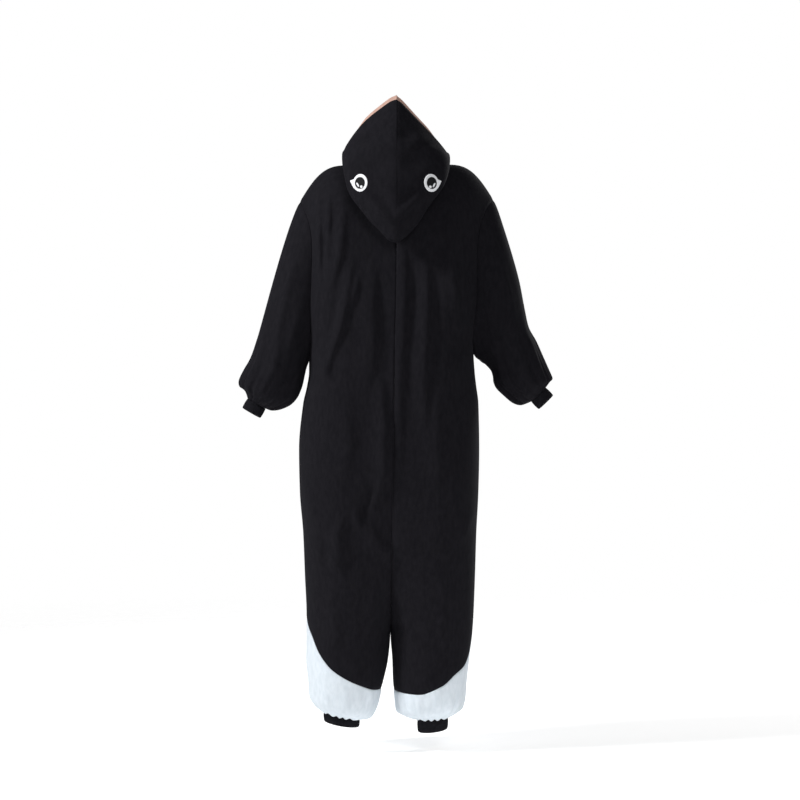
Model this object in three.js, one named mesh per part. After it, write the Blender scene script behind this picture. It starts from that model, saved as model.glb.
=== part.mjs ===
// Hooded penguin costume: a loose one-piece fleece garment with set-in sleeves, rib cuffs and a hood.
// Millimetres, +Z up. The front faces -Y and +X is the wearer's left.
// Tables give heights above the soles; the finished group is lowered so that the neck is the origin.
import * as THREE from 'three';

const NECK_HEIGHT = 1395;
const WALL = 2.2;
const APPLIQUE_WALL = 1.2;
const SEAM_GAP = 0.3;
const HALF_GAP = SEAM_GAP / 2;
const LEFT = 1;
const RIGHT = -1;
const SIDE_NAME = { [LEFT]: 'left', [RIGHT]: 'right' };
const BACK = 1;
const FRONT = -1;

const FINISH = {
  blackFleece: { color: 0x1b1a1f, roughness: 0.92 },
  whiteFleece: { color: 0xe2e7ef, roughness: 0.9 },
  salmonFleece: { color: 0xbc9c90, roughness: 0.9 },
  blackRib: { color: 0x161519, roughness: 0.95 },
  eyeWhite: { color: 0xf2f3f7, roughness: 0.85 },
  button: { color: 0xdfe3ea, roughness: 0.35 },
};

// Horizontal sections of the body and legs. left and right are the outline; innerLeft and innerRight
// are the centre line, and below the crotch the inner edge of each leg. back and front are depths.
// cleft is the depth at the centre line as a share of the full depth. power rounds the section.
const CROTCH = 276;
const BODY = [
  { z: 82, left: 173, right: -129, innerLeft: 84, innerRight: -52, back: 50, front: 46, cleft: 0, power: 2 },
  { z: 90, left: 184, right: -146, innerLeft: 64, innerRight: -24, back: 68, front: 62, cleft: 0, power: 2 },
  { z: 103, left: 196, right: -162, innerLeft: 48, innerRight: -2, back: 82, front: 76, cleft: 0, power: 2.1 },
  { z: 125, left: 205, right: -167, innerLeft: 39, innerRight: 1, back: 90, front: 85, cleft: 0, power: 2.2 },
  { z: 165, left: 208, right: -172, innerLeft: 28, innerRight: 5, back: 94, front: 90, cleft: 0, power: 2.2 },
  { z: 220, left: 213, right: -178, innerLeft: 16, innerRight: 7, back: 97, front: 94, cleft: 0, power: 2.2 },
  { z: CROTCH, left: 212, right: -185, innerLeft: 11, innerRight: 11, back: 102, front: 98, cleft: 0, power: 2.2 },
  { z: 320, left: 212, right: -188, innerLeft: 10, innerRight: 10, back: 108, front: 104, cleft: 0.5, power: 2.2 },
  { z: 420, left: 216, right: -192, innerLeft: 9, innerRight: 9, back: 122, front: 120, cleft: 0.84, power: 2.2 },
  { z: 520, left: 220, right: -195, innerLeft: 7, innerRight: 7, back: 136, front: 134, cleft: 0.94, power: 2.2 },
  { z: 620, left: 228, right: -200, innerLeft: 5, innerRight: 5, back: 146, front: 144, cleft: 0.98, power: 2.2 },
  { z: 720, left: 230, right: -202, innerLeft: 3, innerRight: 3, back: 150, front: 150, cleft: 1, power: 2.2 },
  { z: 830, left: 220, right: -200, innerLeft: 1, innerRight: 1, back: 148, front: 150, cleft: 1, power: 2.2 },
  { z: 870, left: 211, right: -195, innerLeft: 0, innerRight: 0, back: 147, front: 148, cleft: 1, power: 2.2 },
  { z: 905, left: 206, right: -191, innerLeft: 0, innerRight: 0, back: 146, front: 146, cleft: 1, power: 2.2 },
  { z: 960, left: 206, right: -188, innerLeft: 0, innerRight: 0, back: 144, front: 142, cleft: 1, power: 2.2 },
  { z: 1080, left: 214, right: -206, innerLeft: -3, innerRight: -3, back: 141, front: 136, cleft: 1, power: 2.2 },
  { z: 1180, left: 214, right: -212, innerLeft: -4, innerRight: -4, back: 136, front: 128, cleft: 1, power: 2.2 },
];
const CHEST_HEIGHT = 1180;
const LEG_TOP = 420;
const HEM_HEIGHT = 82;
const LOBE_SHARE = 0.48;
const SECTION_HEIGHTS = [480, 550, 630, 710, 790, 860];
const ARMHOLE_HEIGHTS = [966, 1000, 1050, 1110, CHEST_HEIGHT];
const YOKE_STEPS = [0.16, 0.32, 0.48, 0.64, 0.8, 0.91, 1];
const TAIL_STEPS = [0, 0.2, 0.4, 0.6, 0.74, 0.88, 1];
const BELLY_STEPS = [0, 0.3, 0.65, 1];
const HEM_HEIGHTS = [HEM_HEIGHT, 90, 101, 116, 140];
const HEM_TOP_STEPS = [0.5, 1];
const HALF_STEPS = 26;
const HALF_COLUMNS = 10;
const NECK_COLUMNS = 3;
const BELLY_COLUMNS = 9;
const SIDE_COLUMNS = 5;

// The armhole is a tall lens between the underarm and the shoulder point.
const ARMHOLE_HALF_DEPTH = 80;
const ARMHOLE_POWER = 2.3;
const SHOULDER = {
  [LEFT]: { neckX: 74, pointX: 229, pointZ: 1312, underarm: 930 },
  [RIGHT]: { neckX: -80, pointX: -236, pointZ: 1318, underarm: 946 },
};
const NECK = { back: 72, front: 76, backZ: 1398, sideZ: 1406, frontZ: 1318 };
const NECK_SEAM_GAP = 3.2;
const ARMHOLE_GAP = 0.7;
const SHOULDER_ARCH = { height: 39, power: 1.35 };
const YOKE = { neckPower: 1.35, shoulderPower: 2.15, inward: 2.4 };

// The lower edge of the black back: height at a share of the way from the inseam to the side seam.
const TAIL_EDGE = {
  [LEFT]: [
    { share: 0, z: 147 }, { share: 0.2, z: 150 }, { share: 0.4, z: 167 }, { share: 0.6, z: 199 },
    { share: 0.72, z: 236 }, { share: 0.84, z: 287 }, { share: 0.92, z: 308 }, { share: 1, z: 322 },
  ],
  [RIGHT]: [
    { share: 0, z: 146 }, { share: 0.2, z: 145 }, { share: 0.4, z: 143 }, { share: 0.6, z: 163 },
    { share: 0.72, z: 190 }, { share: 0.84, z: 209 }, { share: 0.92, z: 232 }, { share: 1, z: 322 },
  ],
};
// The belly's edge on the front: share of the way from the centre front to the side seam.
const BELLY_EDGE = [
  { z: 330, share: 0.985 }, { z: 372, share: 0.9 }, { z: 470, share: 0.8 }, { z: 620, share: 0.7 },
  { z: 800, share: 0.63 }, { z: 1000, share: 0.56 }, { z: 1180, share: 0.47 }, { z: 1320, share: 0.3 },
];
const BELLY_TIP = 334;
const BELLY_TIP_DROP = 12;

// Broad folds: a line from top to bottom on one face, its half width, and its height (minus is a trough).
const FOLD_MARGIN = 0.18;
const FOLD_END_STRETCH = 0.55;
const FOLDS = [
  { face: BACK, x1: 176, z1: 1300, x2: 172, z2: 1130, width: 15, height: -7 },
  { face: BACK, x1: 150, z1: 1290, x2: 142, z2: 1090, width: 17, height: 6 },
  { face: BACK, x1: 104, z1: 1150, x2: 152, z2: 900, width: 24, height: 9 },
  { face: BACK, x1: 62, z1: 1130, x2: 66, z2: 960, width: 20, height: 5 },
  { face: BACK, x1: -18, z1: 1170, x2: -12, z2: 1020, width: 20, height: 5 },
  { face: BACK, x1: -62, z1: 1130, x2: -70, z2: 880, width: 22, height: 6 },
  { face: BACK, x1: -136, z1: 1270, x2: -156, z2: 980, width: 20, height: 8 },
  { face: BACK, x1: 30, z1: 880, x2: 38, z2: 620, width: 22, height: 8 },
  { face: BACK, x1: 38, z1: 620, x2: 62, z2: 540, width: 22, height: 7 },
  { face: BACK, x1: 74, z1: 565, x2: 70, z2: 500, width: 20, height: -9 },
  { face: BACK, x1: 205, z1: 640, x2: 170, z2: 460, width: 22, height: 6 },
  { face: BACK, x1: 120, z1: 560, x2: 130, z2: 440, width: 18, height: 6 },
  { face: BACK, x1: -186, z1: 580, x2: -150, z2: 470, width: 18, height: 5 },
  { face: FRONT, x1: 120, z1: 1200, x2: 90, z2: 960, width: 22, height: 7 },
  { face: FRONT, x1: -112, z1: 1180, x2: -96, z2: 930, width: 22, height: 7 },
  { face: FRONT, x1: 60, z1: 820, x2: 84, z2: 560, width: 24, height: 8 },
  { face: FRONT, x1: -66, z1: 760, x2: -60, z2: 520, width: 24, height: 7 },
];
const HEM_GATHER = { from: 140, depth: 3.2 };
// The hem tilts across each leg. lower moves it as a whole, tilt is the change over reach.
const HEM_TILT_TOP = 138;
const HEM_TILT = {
  [LEFT]: { middle: 128, reach: 44, lower: -1, tilt: 9 },
  [RIGHT]: { middle: -90.5, reach: 38.5, lower: -7, tilt: -2.2 },
};

// Sleeve rings after the armhole: outer and inner points of the outline, and the half depth.
// gather is the depth of the small folds that run into the cuff.
const ARMHOLE_KEEP = [0.5, 0.25];
const SLEEVES = {
  [LEFT]: [
    { outX: 240, outZ: 1288, inX: 210, inZ: 921, depth: 82, gather: 0 },
    { outX: 256, outZ: 1244, inX: 213, inZ: 912, depth: 83, gather: 0 },
    { outX: 276, outZ: 1180, inX: 215, inZ: 903, depth: 83, gather: 0 },
    { outX: 296, outZ: 1110, inX: 217, inZ: 894, depth: 82, gather: 0 },
    { outX: 313, outZ: 1048, inX: 219, inZ: 884, depth: 80, gather: 0 },
    { outX: 329, outZ: 990, inX: 222, inZ: 872, depth: 78, gather: 0 },
    { outX: 344, outZ: 940, inX: 227, inZ: 859, depth: 76, gather: 1 },
    { outX: 360, outZ: 908, inX: 234, inZ: 845, depth: 74, gather: 2 },
    { outX: 370, outZ: 884, inX: 245, inZ: 832, depth: 70, gather: 3 },
    { outX: 369, outZ: 869, inX: 258, inZ: 823, depth: 62, gather: 4 },
    { outX: 360, outZ: 861, inX: 279, inZ: 815, depth: 50, gather: 4 },
    { outX: 356, outZ: 852, inX: 297, inZ: 813, depth: 36, gather: 2.4 },
    { outX: 353.6, outZ: 842.3, inX: 309.8, inZ: 817.3, depth: 25, gather: 0 },
  ],
  [RIGHT]: [
    { outX: -246, outZ: 1296, inX: -195, inZ: 939, depth: 82, gather: 0 },
    { outX: -260, outZ: 1254, inX: -202, inZ: 934, depth: 83, gather: 0 },
    { outX: -280, outZ: 1190, inX: -209, inZ: 928, depth: 83, gather: 0 },
    { outX: -298, outZ: 1124, inX: -216, inZ: 924, depth: 82, gather: 0 },
    { outX: -310, outZ: 1062, inX: -224, inZ: 916, depth: 80, gather: 0 },
    { outX: -321, outZ: 1012, inX: -231, inZ: 907, depth: 78, gather: 0 },
    { outX: -337, outZ: 978, inX: -235, inZ: 894, depth: 76, gather: 1 },
    { outX: -352, outZ: 940, inX: -237, inZ: 880, depth: 74, gather: 2 },
    { outX: -366, outZ: 906, inX: -245, inZ: 865, depth: 70, gather: 3 },
    { outX: -373, outZ: 888, inX: -261, inZ: 850, depth: 62, gather: 4 },
    { outX: -369, outZ: 880, inX: -283, inZ: 832, depth: 50, gather: 4 },
    { outX: -366, outZ: 874, inX: -303, inZ: 826, depth: 36, gather: 2.4 },
    { outX: -361.8, outZ: 868.4, inX: -326.6, inZ: 834.2, depth: 25, gather: 0 },
  ],
};

// Cuffs: a rib tube from the gathered edge, along the limb, with its length.
const WRIST_CUFF = { length: 26, halfDepth: 25, ribs: 22, ribHeight: 1.1 };
const WRIST_ENDS = {
  [LEFT]: { x: 345, z: 807, alongX: 0.5, alongZ: -0.866, halfWidth: 25.2 },
  [RIGHT]: { x: -362.4, z: 832.6, alongX: -0.7, alongZ: -0.72, halfWidth: 24.5 },
};
const ANKLE_CUFF = { ribs: 26, ribHeight: 1.1 };
const CUFF_EXTRA = 0.6;
const CUFF_SWELL = 0.04;
const ANKLE_ENDS = {
  [LEFT]: { x: 128, halfWidth: 44, back: 50, front: 46, bottom: 62, tilt: 7 },
  [RIGHT]: { x: -90.5, halfWidth: 38, back: 50, front: 46, bottom: 47, tilt: -4 },
};

// The hood is down on the back. Each section runs from the neck seam up, over and down to the fold,
// then up the outer layer to the face edge. x is for the left half.
const HOOD = [
  { neck: 90, squash: 0, path: [[0, 90, 1417], [0, 128, 1398], [0, 146, 1310], [0, 156, 1212], [0, 178, 1208],
    [0, 198, 1262], [0, 194, 1360], [0, 160, 1462], [0, 106, 1549]] },
  { neck: 55, squash: 1, path: [[50, 74, 1424], [54, 108, 1408], [56, 136, 1335], [56, 148, 1262], [59, 166, 1250],
    [66, 182, 1298], [74, 172, 1372], [80, 140, 1438], [74, 98, 1494]] },
  { neck: 20, squash: 1, path: [[82, 40, 1428], [92, 70, 1420], [100, 104, 1382], [106, 122, 1338], [112, 134, 1330],
    [118, 140, 1352], [122, 130, 1384], [123, 112, 1414], [120, 84, 1436]] },
  { neck: -12, squash: 0.3, path: [[90, -8, 1424], [101, 8, 1424], [110, 26, 1416], [117, 40, 1405], [122, 46, 1405],
    [125, 44, 1411], [125, 36, 1421], [123, 24, 1430], [114, 6, 1436]] },
  { neck: -50, squash: 0, path: [[64, -66, 1380], [76, -72, 1388], [86, -76, 1390], [94, -80, 1388], [98, -84, 1390],
    [98, -86, 1396], [94, -86, 1402], [86, -84, 1406], [76, -78, 1408]] },
  { neck: -86, squash: 0, path: [[5, -90, 1338], [5, -98, 1344], [5, -104, 1344], [5, -110, 1340], [5, -115, 1340],
    [5, -117, 1346], [5, -115, 1352], [5, -110, 1357], [5, -103, 1360]] },
];
// The right half lies a little flatter than the left: its outer layer is drawn in towards a middle height.
const HOOD_SQUASH = { middle: 1340, share: 0.13, firstPoint: 5 };
const HOOD_SCALE_LEFT = 1;
const HOOD_SCALE_RIGHT = 0.98;
const HOOD_MIDDLE = -4;
const HOOD_COLUMNS = 11;
const HOOD_ROWS = 20;
const HOOD_COLUMN_POWER = 1.1;
const HOOD_OUTER_SHARE = 0.66;
const HOOD_SEARCH = {
  around: 0.22, along: 0.82, nudge: 0.004, turns: 12, aroundRange: [0.005, 0.6], alongRange: [0.55, 0.97],
};
const PEAK = { columns: 4, rows: 4, rim: 15, rimAtEdge: 0.35, clearance: 0.9 };

// Eyes lie on the hood's outer layer. Sizes are half widths and half heights.
const EYE = {
  halfWidth: 16.8, halfHeight: 21.5, pupilWidth: 10.5, pupilHeight: 13.8,
  lash: 8, lashAngle: 0.3, lashSpread: 0.2,
};
const APPLIQUE = {
  lift: 0.6, glintWall: 0.8, rings: [1, 0.5], whiteSpokes: 30, pupilSpokes: 20, glintSpokes: 10,
};
const EYES = {
  [LEFT]: {
    x: 79.5, z: 1338.5, glints: [
      { x: 5.5, z: -3, halfWidth: 2.8, halfHeight: 4.6 }, { x: -1.7, z: -8.4, halfWidth: 3, halfHeight: 3 },
    ],
  },
  [RIGHT]: {
    x: -84, z: 1338.5, glints: [
      { x: 1, z: -8.4, halfWidth: 3, halfHeight: 3 }, { x: -6.2, z: -4, halfWidth: 2.8, halfHeight: 4.6 },
    ],
  },
};

const BAND = { halfWidth: 16, top: 1296, bottom: 640, rows: 16, wall: 2.4, lift: 1.7 };
const BUTTON = { radius: 11, thickness: 3.2, count: 5, first: 1238, spacing: 134, sides: 16, clearance: 0.7 };

const material = (finish) => new THREE.MeshStandardMaterial({ ...finish, metalness: 0 });
const vec = (x, y, z) => new THREE.Vector3(x, y, z);
const mix = THREE.MathUtils.lerp;

// Smooth value of a table's column at a key, with no overshoot between its rows.
function tableValue(table, keyName, name, key) {
  const last = table.length - 1;
  if (key <= table[0][keyName]) return table[0][name];
  if (key >= table[last][keyName]) return table[last][name];
  let i = 0;
  while (key > table[i + 1][keyName]) i += 1;
  const step = (k) => table[k + 1][keyName] - table[k][keyName];
  const rise = (k) => (table[k + 1][name] - table[k][name]) / step(k);
  const slope = (k) => {
    if (k === 0 || k === last) return rise(k === 0 ? 0 : last - 1);
    const before = rise(k - 1);
    const after = rise(k);
    return before * after <= 0 ? 0 : (2 * before * after) / (before + after);
  };
  const s = (key - table[i][keyName]) / step(i);
  const bend = s * s * (3 - 2 * s);
  const start = slope(i) * step(i) * s * (1 - s) * (1 - s);
  const end = -slope(i + 1) * step(i) * s * s * (1 - s);
  return mix(table[i][name], table[i + 1][name], bend) + start + end;
}

// Points along a polyline at even shares of its length.
function evenly(points, count) {
  const lengths = [0];
  for (let i = 1; i < points.length; i += 1) {
    lengths.push(lengths[i - 1] + points[i].distanceTo(points[i - 1]));
  }
  const total = lengths[lengths.length - 1];
  const result = [];
  let k = 0;
  for (let i = 0; i <= count; i += 1) {
    const target = (total * i) / count;
    while (k < points.length - 2 && lengths[k + 1] < target) k += 1;
    const share = (target - lengths[k]) / Math.max(lengths[k + 1] - lengths[k], 1e-9);
    result.push(points[k].clone().lerp(points[k + 1], share));
  }
  return result;
}

function foldHeight(face, x, z) {
  let sum = 0;
  for (const fold of FOLDS) {
    if (fold.face !== face) continue;
    const runX = fold.x2 - fold.x1;
    const runZ = fold.z2 - fold.z1;
    const along = ((x - fold.x1) * runX + (z - fold.z1) * runZ) / (runX * runX + runZ * runZ);
    const inside = THREE.MathUtils.clamp(along, 0, 1);
    const away = Math.hypot(x - fold.x1 - runX * inside, (z - fold.z1 - runZ * inside) * FOLD_END_STRETCH);
    sum += fold.height * Math.exp(-((away / fold.width) ** 2));
  }
  return sum;
}

// Half a section at one height, from the centre line or inseam to the side, cut where the armhole is.
function halfSection(side, face, z) {
  const read = (name) => tableValue(BODY, 'z', name, z);
  const outer = read(side === LEFT ? 'left' : 'right');
  const inner = read(side === LEFT ? 'innerLeft' : 'innerRight');
  const depth = face * read(face === BACK ? 'back' : 'front');
  const power = read('power');
  const drop = 1 - read('cleft') ** power;
  const lobe = mix(inner, outer, LOBE_SHARE);
  const points = [];
  for (let i = 0; i <= HALF_STEPS; i += 1) {
    const s = Math.cos((Math.PI / 2) * (i / HALF_STEPS));
    const y = depth * Math.max(1 - drop * s ** power, 0) ** (1 / power);
    points.push(vec(mix(lobe, inner, s), y, z));
  }
  for (let i = 1; i <= HALF_STEPS; i += 1) {
    const s = Math.sin((Math.PI / 2) * (i / HALF_STEPS));
    points.push(vec(mix(lobe, outer, s), depth * Math.max(1 - s ** power, 0) ** (1 / power), z));
  }
  const limit = armholeDepth(side, z);
  if (limit <= 0) return points;
  const cut = points.findIndex((p, i) => i > HALF_STEPS && Math.abs(p.y) < limit);
  const share = (Math.abs(points[cut - 1].y) - limit) / Math.abs(points[cut - 1].y - points[cut].y);
  return [...points.slice(0, cut), points[cut - 1].clone().lerp(points[cut], share)];
}

function armholeDepth(side, z) {
  const share = (z - SHOULDER[side].underarm) / (CHEST_HEIGHT - SHOULDER[side].underarm);
  if (share <= 0) return 0;
  return ARMHOLE_HALF_DEPTH * (1 - (1 - Math.min(share, 1)) ** ARMHOLE_POWER) ** (1 / ARMHOLE_POWER);
}

// The top edge of a half: the neckline, then the shoulder seam out to the shoulder point.
function neckPoint(side, face, angle) {
  const rise = Math.sin(angle);
  const x = mix(HOOD_MIDDLE, SHOULDER[side].neckX, Math.cos(angle));
  const y = rise * (face === BACK ? NECK.back : NECK.front);
  const lowZ = face === BACK ? NECK.backZ : NECK.frontZ;
  return vec(x, y, mix(NECK.sideZ, lowZ, Math.abs(rise) ** 1.5));
}

// The same neckline as the straight runs between the body's columns.
function neckSeamPoint(side, angle) {
  const face = angle >= 0 ? BACK : FRONT;
  const column = NECK_COLUMNS * (1 - Math.abs(angle) / (Math.PI / 2));
  const k = Math.min(Math.floor(column), NECK_COLUMNS - 1);
  return topEdge(side, face, k).lerp(topEdge(side, face, k + 1), column - k);
}

function topEdge(side, face, column) {
  if (column <= NECK_COLUMNS) {
    return neckPoint(side, face, (face * Math.PI * (1 - column / NECK_COLUMNS)) / 2);
  }
  const share = (column - NECK_COLUMNS) / (HALF_COLUMNS - NECK_COLUMNS);
  const { neckX, pointX, pointZ } = SHOULDER[side];
  const arch = SHOULDER_ARCH.height * Math.sin(Math.PI * share ** SHOULDER_ARCH.power);
  return vec(mix(neckX, pointX, share), 0, mix(NECK.sideZ, pointZ, share) + arch);
}

// Above the chest the cloth rises and rolls forward over the shoulder to the top edge.
function yokePoint(side, face, column, start, step) {
  const top = topEdge(side, face, column);
  const power = mix(YOKE.neckPower, YOKE.shoulderPower, Math.min(column / (NECK_COLUMNS + 2), 1));
  const turn = (step * Math.PI) / 2;
  const up = Math.sin(turn) ** (2 / power);
  const over = Math.cos(turn) ** (2 / power);
  const x = mix(start.x, top.x, Math.sin(turn) ** YOKE.inward);
  return vec(x, mix(top.y, start.y, over), mix(start.z, top.z, up));
}

function tailHeight(side, share) {
  return tableValue(TAIL_EDGE[side], 'share', 'z', share);
}

// A point of the body where the height may change along the row.
function bodyPoint(side, face, z, share) {
  const row = evenly(halfSection(side, face, z), HALF_COLUMNS * 4);
  const at = share * HALF_COLUMNS * 4;
  const k = Math.min(Math.floor(at), HALF_COLUMNS * 4 - 1);
  const point = row[k].clone().lerp(row[k + 1], at - k);
  return creased(side, face, point, share);
}

function creased(side, face, point, share) {
  const window = Math.min(1, (1 - share) / FOLD_MARGIN);
  point.y += face * foldHeight(face, point.x, point.z) * window;
  return point;
}

function gathered(side, face, point, column, z) {
  if (z > HEM_GATHER.from || z <= HEM_HEIGHT) return point;
  const ends = ANKLE_ENDS[side];
  const share = (HEM_GATHER.from - z) / (HEM_GATHER.from - HEM_HEIGHT);
  const depth = HEM_GATHER.depth * Math.sin(Math.PI * share);
  const out = vec(point.x - ends.x, point.y, 0).normalize();
  const wave = column % 2 === 0 ? 1 : -1;
  return point.addScaledVector(out, depth * wave);
}

// Rows of one half of one face, from the lowest edge to the neckline.
function bodyRows(side, face, bottomAt, bottomSteps) {
  const rows = [];
  const columns = [...Array(HALF_COLUMNS + 1).keys()];
  for (const step of bottomSteps) {
    rows.push(columns.map((j) => {
      const share = j / HALF_COLUMNS;
      return bodyPoint(side, face, mix(bottomAt(share), LEG_TOP, step), share);
    }));
  }
  const heights = [...SECTION_HEIGHTS, SHOULDER[side].underarm, ...ARMHOLE_HEIGHTS];
  for (const z of heights) {
    rows.push(columns.map((j) => bodyPoint(side, face, z, j / HALF_COLUMNS)));
  }
  const chest = columns.map((j) => bodyPoint(side, face, CHEST_HEIGHT, j / HALF_COLUMNS));
  for (const step of YOKE_STEPS) {
    rows.push(columns.map((j) => {
      const point = yokePoint(side, face, j, chest[j], step);
      return step < 1 ? creased(side, face, point, Math.max(j / HALF_COLUMNS, step)) : point;
    }));
  }
  return rows;
}

// Unit normals of a grid, turned to the side that outward() gives.
function gridNormals(grid, outward, closed = false) {
  const rows = grid.length;
  const columns = grid[0].length;
  const normals = grid.map((row, i) => row.map((point, j) => {
    const up = grid[Math.min(i + 1, rows - 1)][j].clone().sub(grid[Math.max(i - 1, 0)][j]);
    const next = closed ? (j + 1) % columns : Math.min(j + 1, columns - 1);
    const before = closed ? (j + columns - 1) % columns : Math.max(j - 1, 0);
    return row[next].clone().sub(row[before]).cross(up).normalize();
  }));
  let agreement = 0;
  grid.forEach((row, i) => row.forEach((point, j) => {
    agreement += normals[i][j].dot(outward(point, i, j));
  }));
  if (agreement < 0) normals.forEach((row) => row.forEach((n) => n.negate()));
  return normals;
}

// Moves a grid's edge rows and columns inward along the cloth, so that seams stay open.
function insetEdges(grid, { first = 0, last = 0, start = 0, end = 0 }) {
  const moved = grid.map((row) => row.map((p) => p.clone()));
  const pull = (to, from, distance) => {
    const way = from.clone().sub(to);
    if (way.length() > distance) to.addScaledVector(way.normalize(), distance);
  };
  const rows = grid.length;
  const columns = grid[0].length;
  for (let j = 0; j < columns; j += 1) {
    if (first) pull(moved[0][j], grid[1][j], first);
    if (last) pull(moved[rows - 1][j], grid[rows - 2][j], last);
  }
  for (let i = 0; i < rows; i += 1) {
    if (start) pull(moved[i][0], grid[i][1], start);
    if (end) pull(moved[i][columns - 1], grid[i][columns - 2], end);
  }
  return moved;
}

// A closed cloth wall: the outer grid, the same grid moved inward, and the edges between them.
function wallGeometry(outer, normals, thickness, closed = false, innerPoints = null) {
  const rows = outer.length;
  const columns = outer[0].length;
  const positions = [];
  outer.flat().forEach((p) => positions.push(p.x, p.y, p.z));
  outer.forEach((row, i) => row.forEach((p, j) => {
    const q = innerPoints ? innerPoints[i][j] : p.clone().addScaledVector(normals[i][j], -thickness);
    positions.push(q.x, q.y, q.z);
  }));
  const count = rows * columns;
  const at = (i, j) => i * columns + (j % columns);
  const faces = [];
  const quad = (a, b, c, d) => faces.push(a, b, c, a, c, d);
  const across = closed ? columns : columns - 1;
  for (let i = 0; i < rows - 1; i += 1) {
    for (let j = 0; j < across; j += 1) {
      quad(at(i, j), at(i, j + 1), at(i + 1, j + 1), at(i + 1, j));
      quad(at(i, j) + count, at(i + 1, j) + count, at(i + 1, j + 1) + count, at(i, j + 1) + count);
    }
    if (!closed) {
      quad(at(i, 0), at(i + 1, 0), at(i + 1, 0) + count, at(i, 0) + count);
      const e = columns - 1;
      quad(at(i, e), at(i, e) + count, at(i + 1, e) + count, at(i + 1, e));
    }
  }
  for (let j = 0; j < across; j += 1) {
    const t = rows - 1;
    quad(at(0, j), at(0, j) + count, at(0, j + 1) + count, at(0, j + 1));
    quad(at(t, j), at(t, j + 1), at(t, j + 1) + count, at(t, j) + count);
  }
  return oriented(positions, faces);
}

// A geometry whose faces point out of the solid.
function oriented(positions, faces) {
  let volume = 0;
  const point = (k) => vec(positions[3 * k], positions[3 * k + 1], positions[3 * k + 2]);
  for (let i = 0; i < faces.length; i += 3) {
    volume += point(faces[i]).dot(point(faces[i + 1]).cross(point(faces[i + 2])));
  }
  const turned = (v, i) => (i % 3 === 0 ? [v, faces[i + 2], faces[i + 1]] : []);
  const index = volume > 0 ? faces : faces.flatMap(turned);
  const geometry = new THREE.BufferGeometry();
  geometry.setAttribute('position', new THREE.Float32BufferAttribute(positions, 3));
  geometry.setIndex(index);
  geometry.computeVertexNormals();
  return geometry;
}

const costume = new THREE.Group();
costume.position.z = -NECK_HEIGHT;

function addPiece(name, geometry, finish) {
  const mesh = new THREE.Mesh(geometry, material(finish));
  mesh.name = name;
  costume.add(mesh);
}

const outwardFrom = (side, face) => (point) => vec(side * 0.2, face, 0);

// Seam normals: flat across the centre, side and shoulder seams, shared with the sleeve at the armhole.
function matchSeams(side, normals, rowHeight, sleeveSeam) {
  const rows = normals.length;
  const last = normals[0].length - 1;
  for (let i = 0; i < rows; i += 1) {
    const inseam = rowHeight(i, 0) < CROTCH;
    const first = normals[i][0];
    if (inseam) first.setY(0).normalize();
    else if (first.x * side > 0 || rowHeight(i, 0) > LEG_TOP) first.setX(0).normalize();
    if (rowHeight(i, last) <= SHOULDER[side].underarm) normals[i][last].setY(0).normalize();
  }
  if (!sleeveSeam) return;
  const base = rows - ARMHOLE_HEIGHTS.length - YOKE_STEPS.length - 1;
  for (let k = 0; k < sleeveSeam.length; k += 1) normals[base + k][last] = sleeveSeam[k].clone();
  for (let j = NECK_COLUMNS; j < last; j += 1) normals[rows - 1][j].setY(0).normalize();
}

// The armhole loop: underarm, up the back edge, the shoulder point, and down the front edge.
function armholeLoop(backRows, frontRows) {
  const edge = (rows) => rows.slice(-ARMHOLE_HEIGHTS.length - YOKE_STEPS.length - 1).map((row) => row.at(-1));
  const back = edge(backRows);
  const front = edge(frontRows);
  return [...back, ...front.slice(1, -1).reverse()].map((p) => p.clone());
}

function sleeveGrid(side, loop) {
  const half = loop.length / 2;
  const lengths = [0];
  for (let k = 1; k <= half; k += 1) lengths.push(lengths[k - 1] + loop[k].distanceTo(loop[k - 1]));
  const angles = loop.map((p, k) => {
    const share = lengths[k <= half ? k : loop.length - k] / lengths[half];
    return (k <= half ? 1 : -1) * Math.PI * (1 - share);
  });
  const grid = [loop];
  SLEEVES[side].forEach((ring, index) => {
    const middle = vec((ring.outX + ring.inX) / 2, 0, (ring.outZ + ring.inZ) / 2);
    const arm = vec(ring.outX, 0, ring.outZ).sub(middle);
    grid.push(angles.map((angle, k) => {
      const wave = 1 + (ring.gather / ring.depth) * (k % 2 === 0 ? 1 : -1);
      const point = middle.clone().addScaledVector(arm, Math.cos(angle) * wave);
      point.y = Math.sin(angle) * ring.depth * wave;
      const keep = ARMHOLE_KEEP[index] ?? 0;
      point.y = mix(point.y, loop[k].y, keep);
      return point;
    }));
  });
  return grid;
}

// A rib cuff: a tube whose outer points stand up and down in turn over a plain inside.
function ribCuff(centres, ribs, ribHeight) {
  const columns = ribs * 2;
  const outer = [];
  const inner = [];
  for (const ring of centres) {
    outer.push([]);
    inner.push([]);
    for (let k = 0; k < columns; k += 1) {
      const angle = (2 * Math.PI * k) / columns;
      const groove = k % 2 === 0 ? 0 : ribHeight;
      outer.at(-1).push(ring(angle, groove));
      inner.at(-1).push(ring(angle, WALL + CUFF_EXTRA));
    }
  }
  return wallGeometry(outer, null, 0, true, inner);
}

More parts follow.
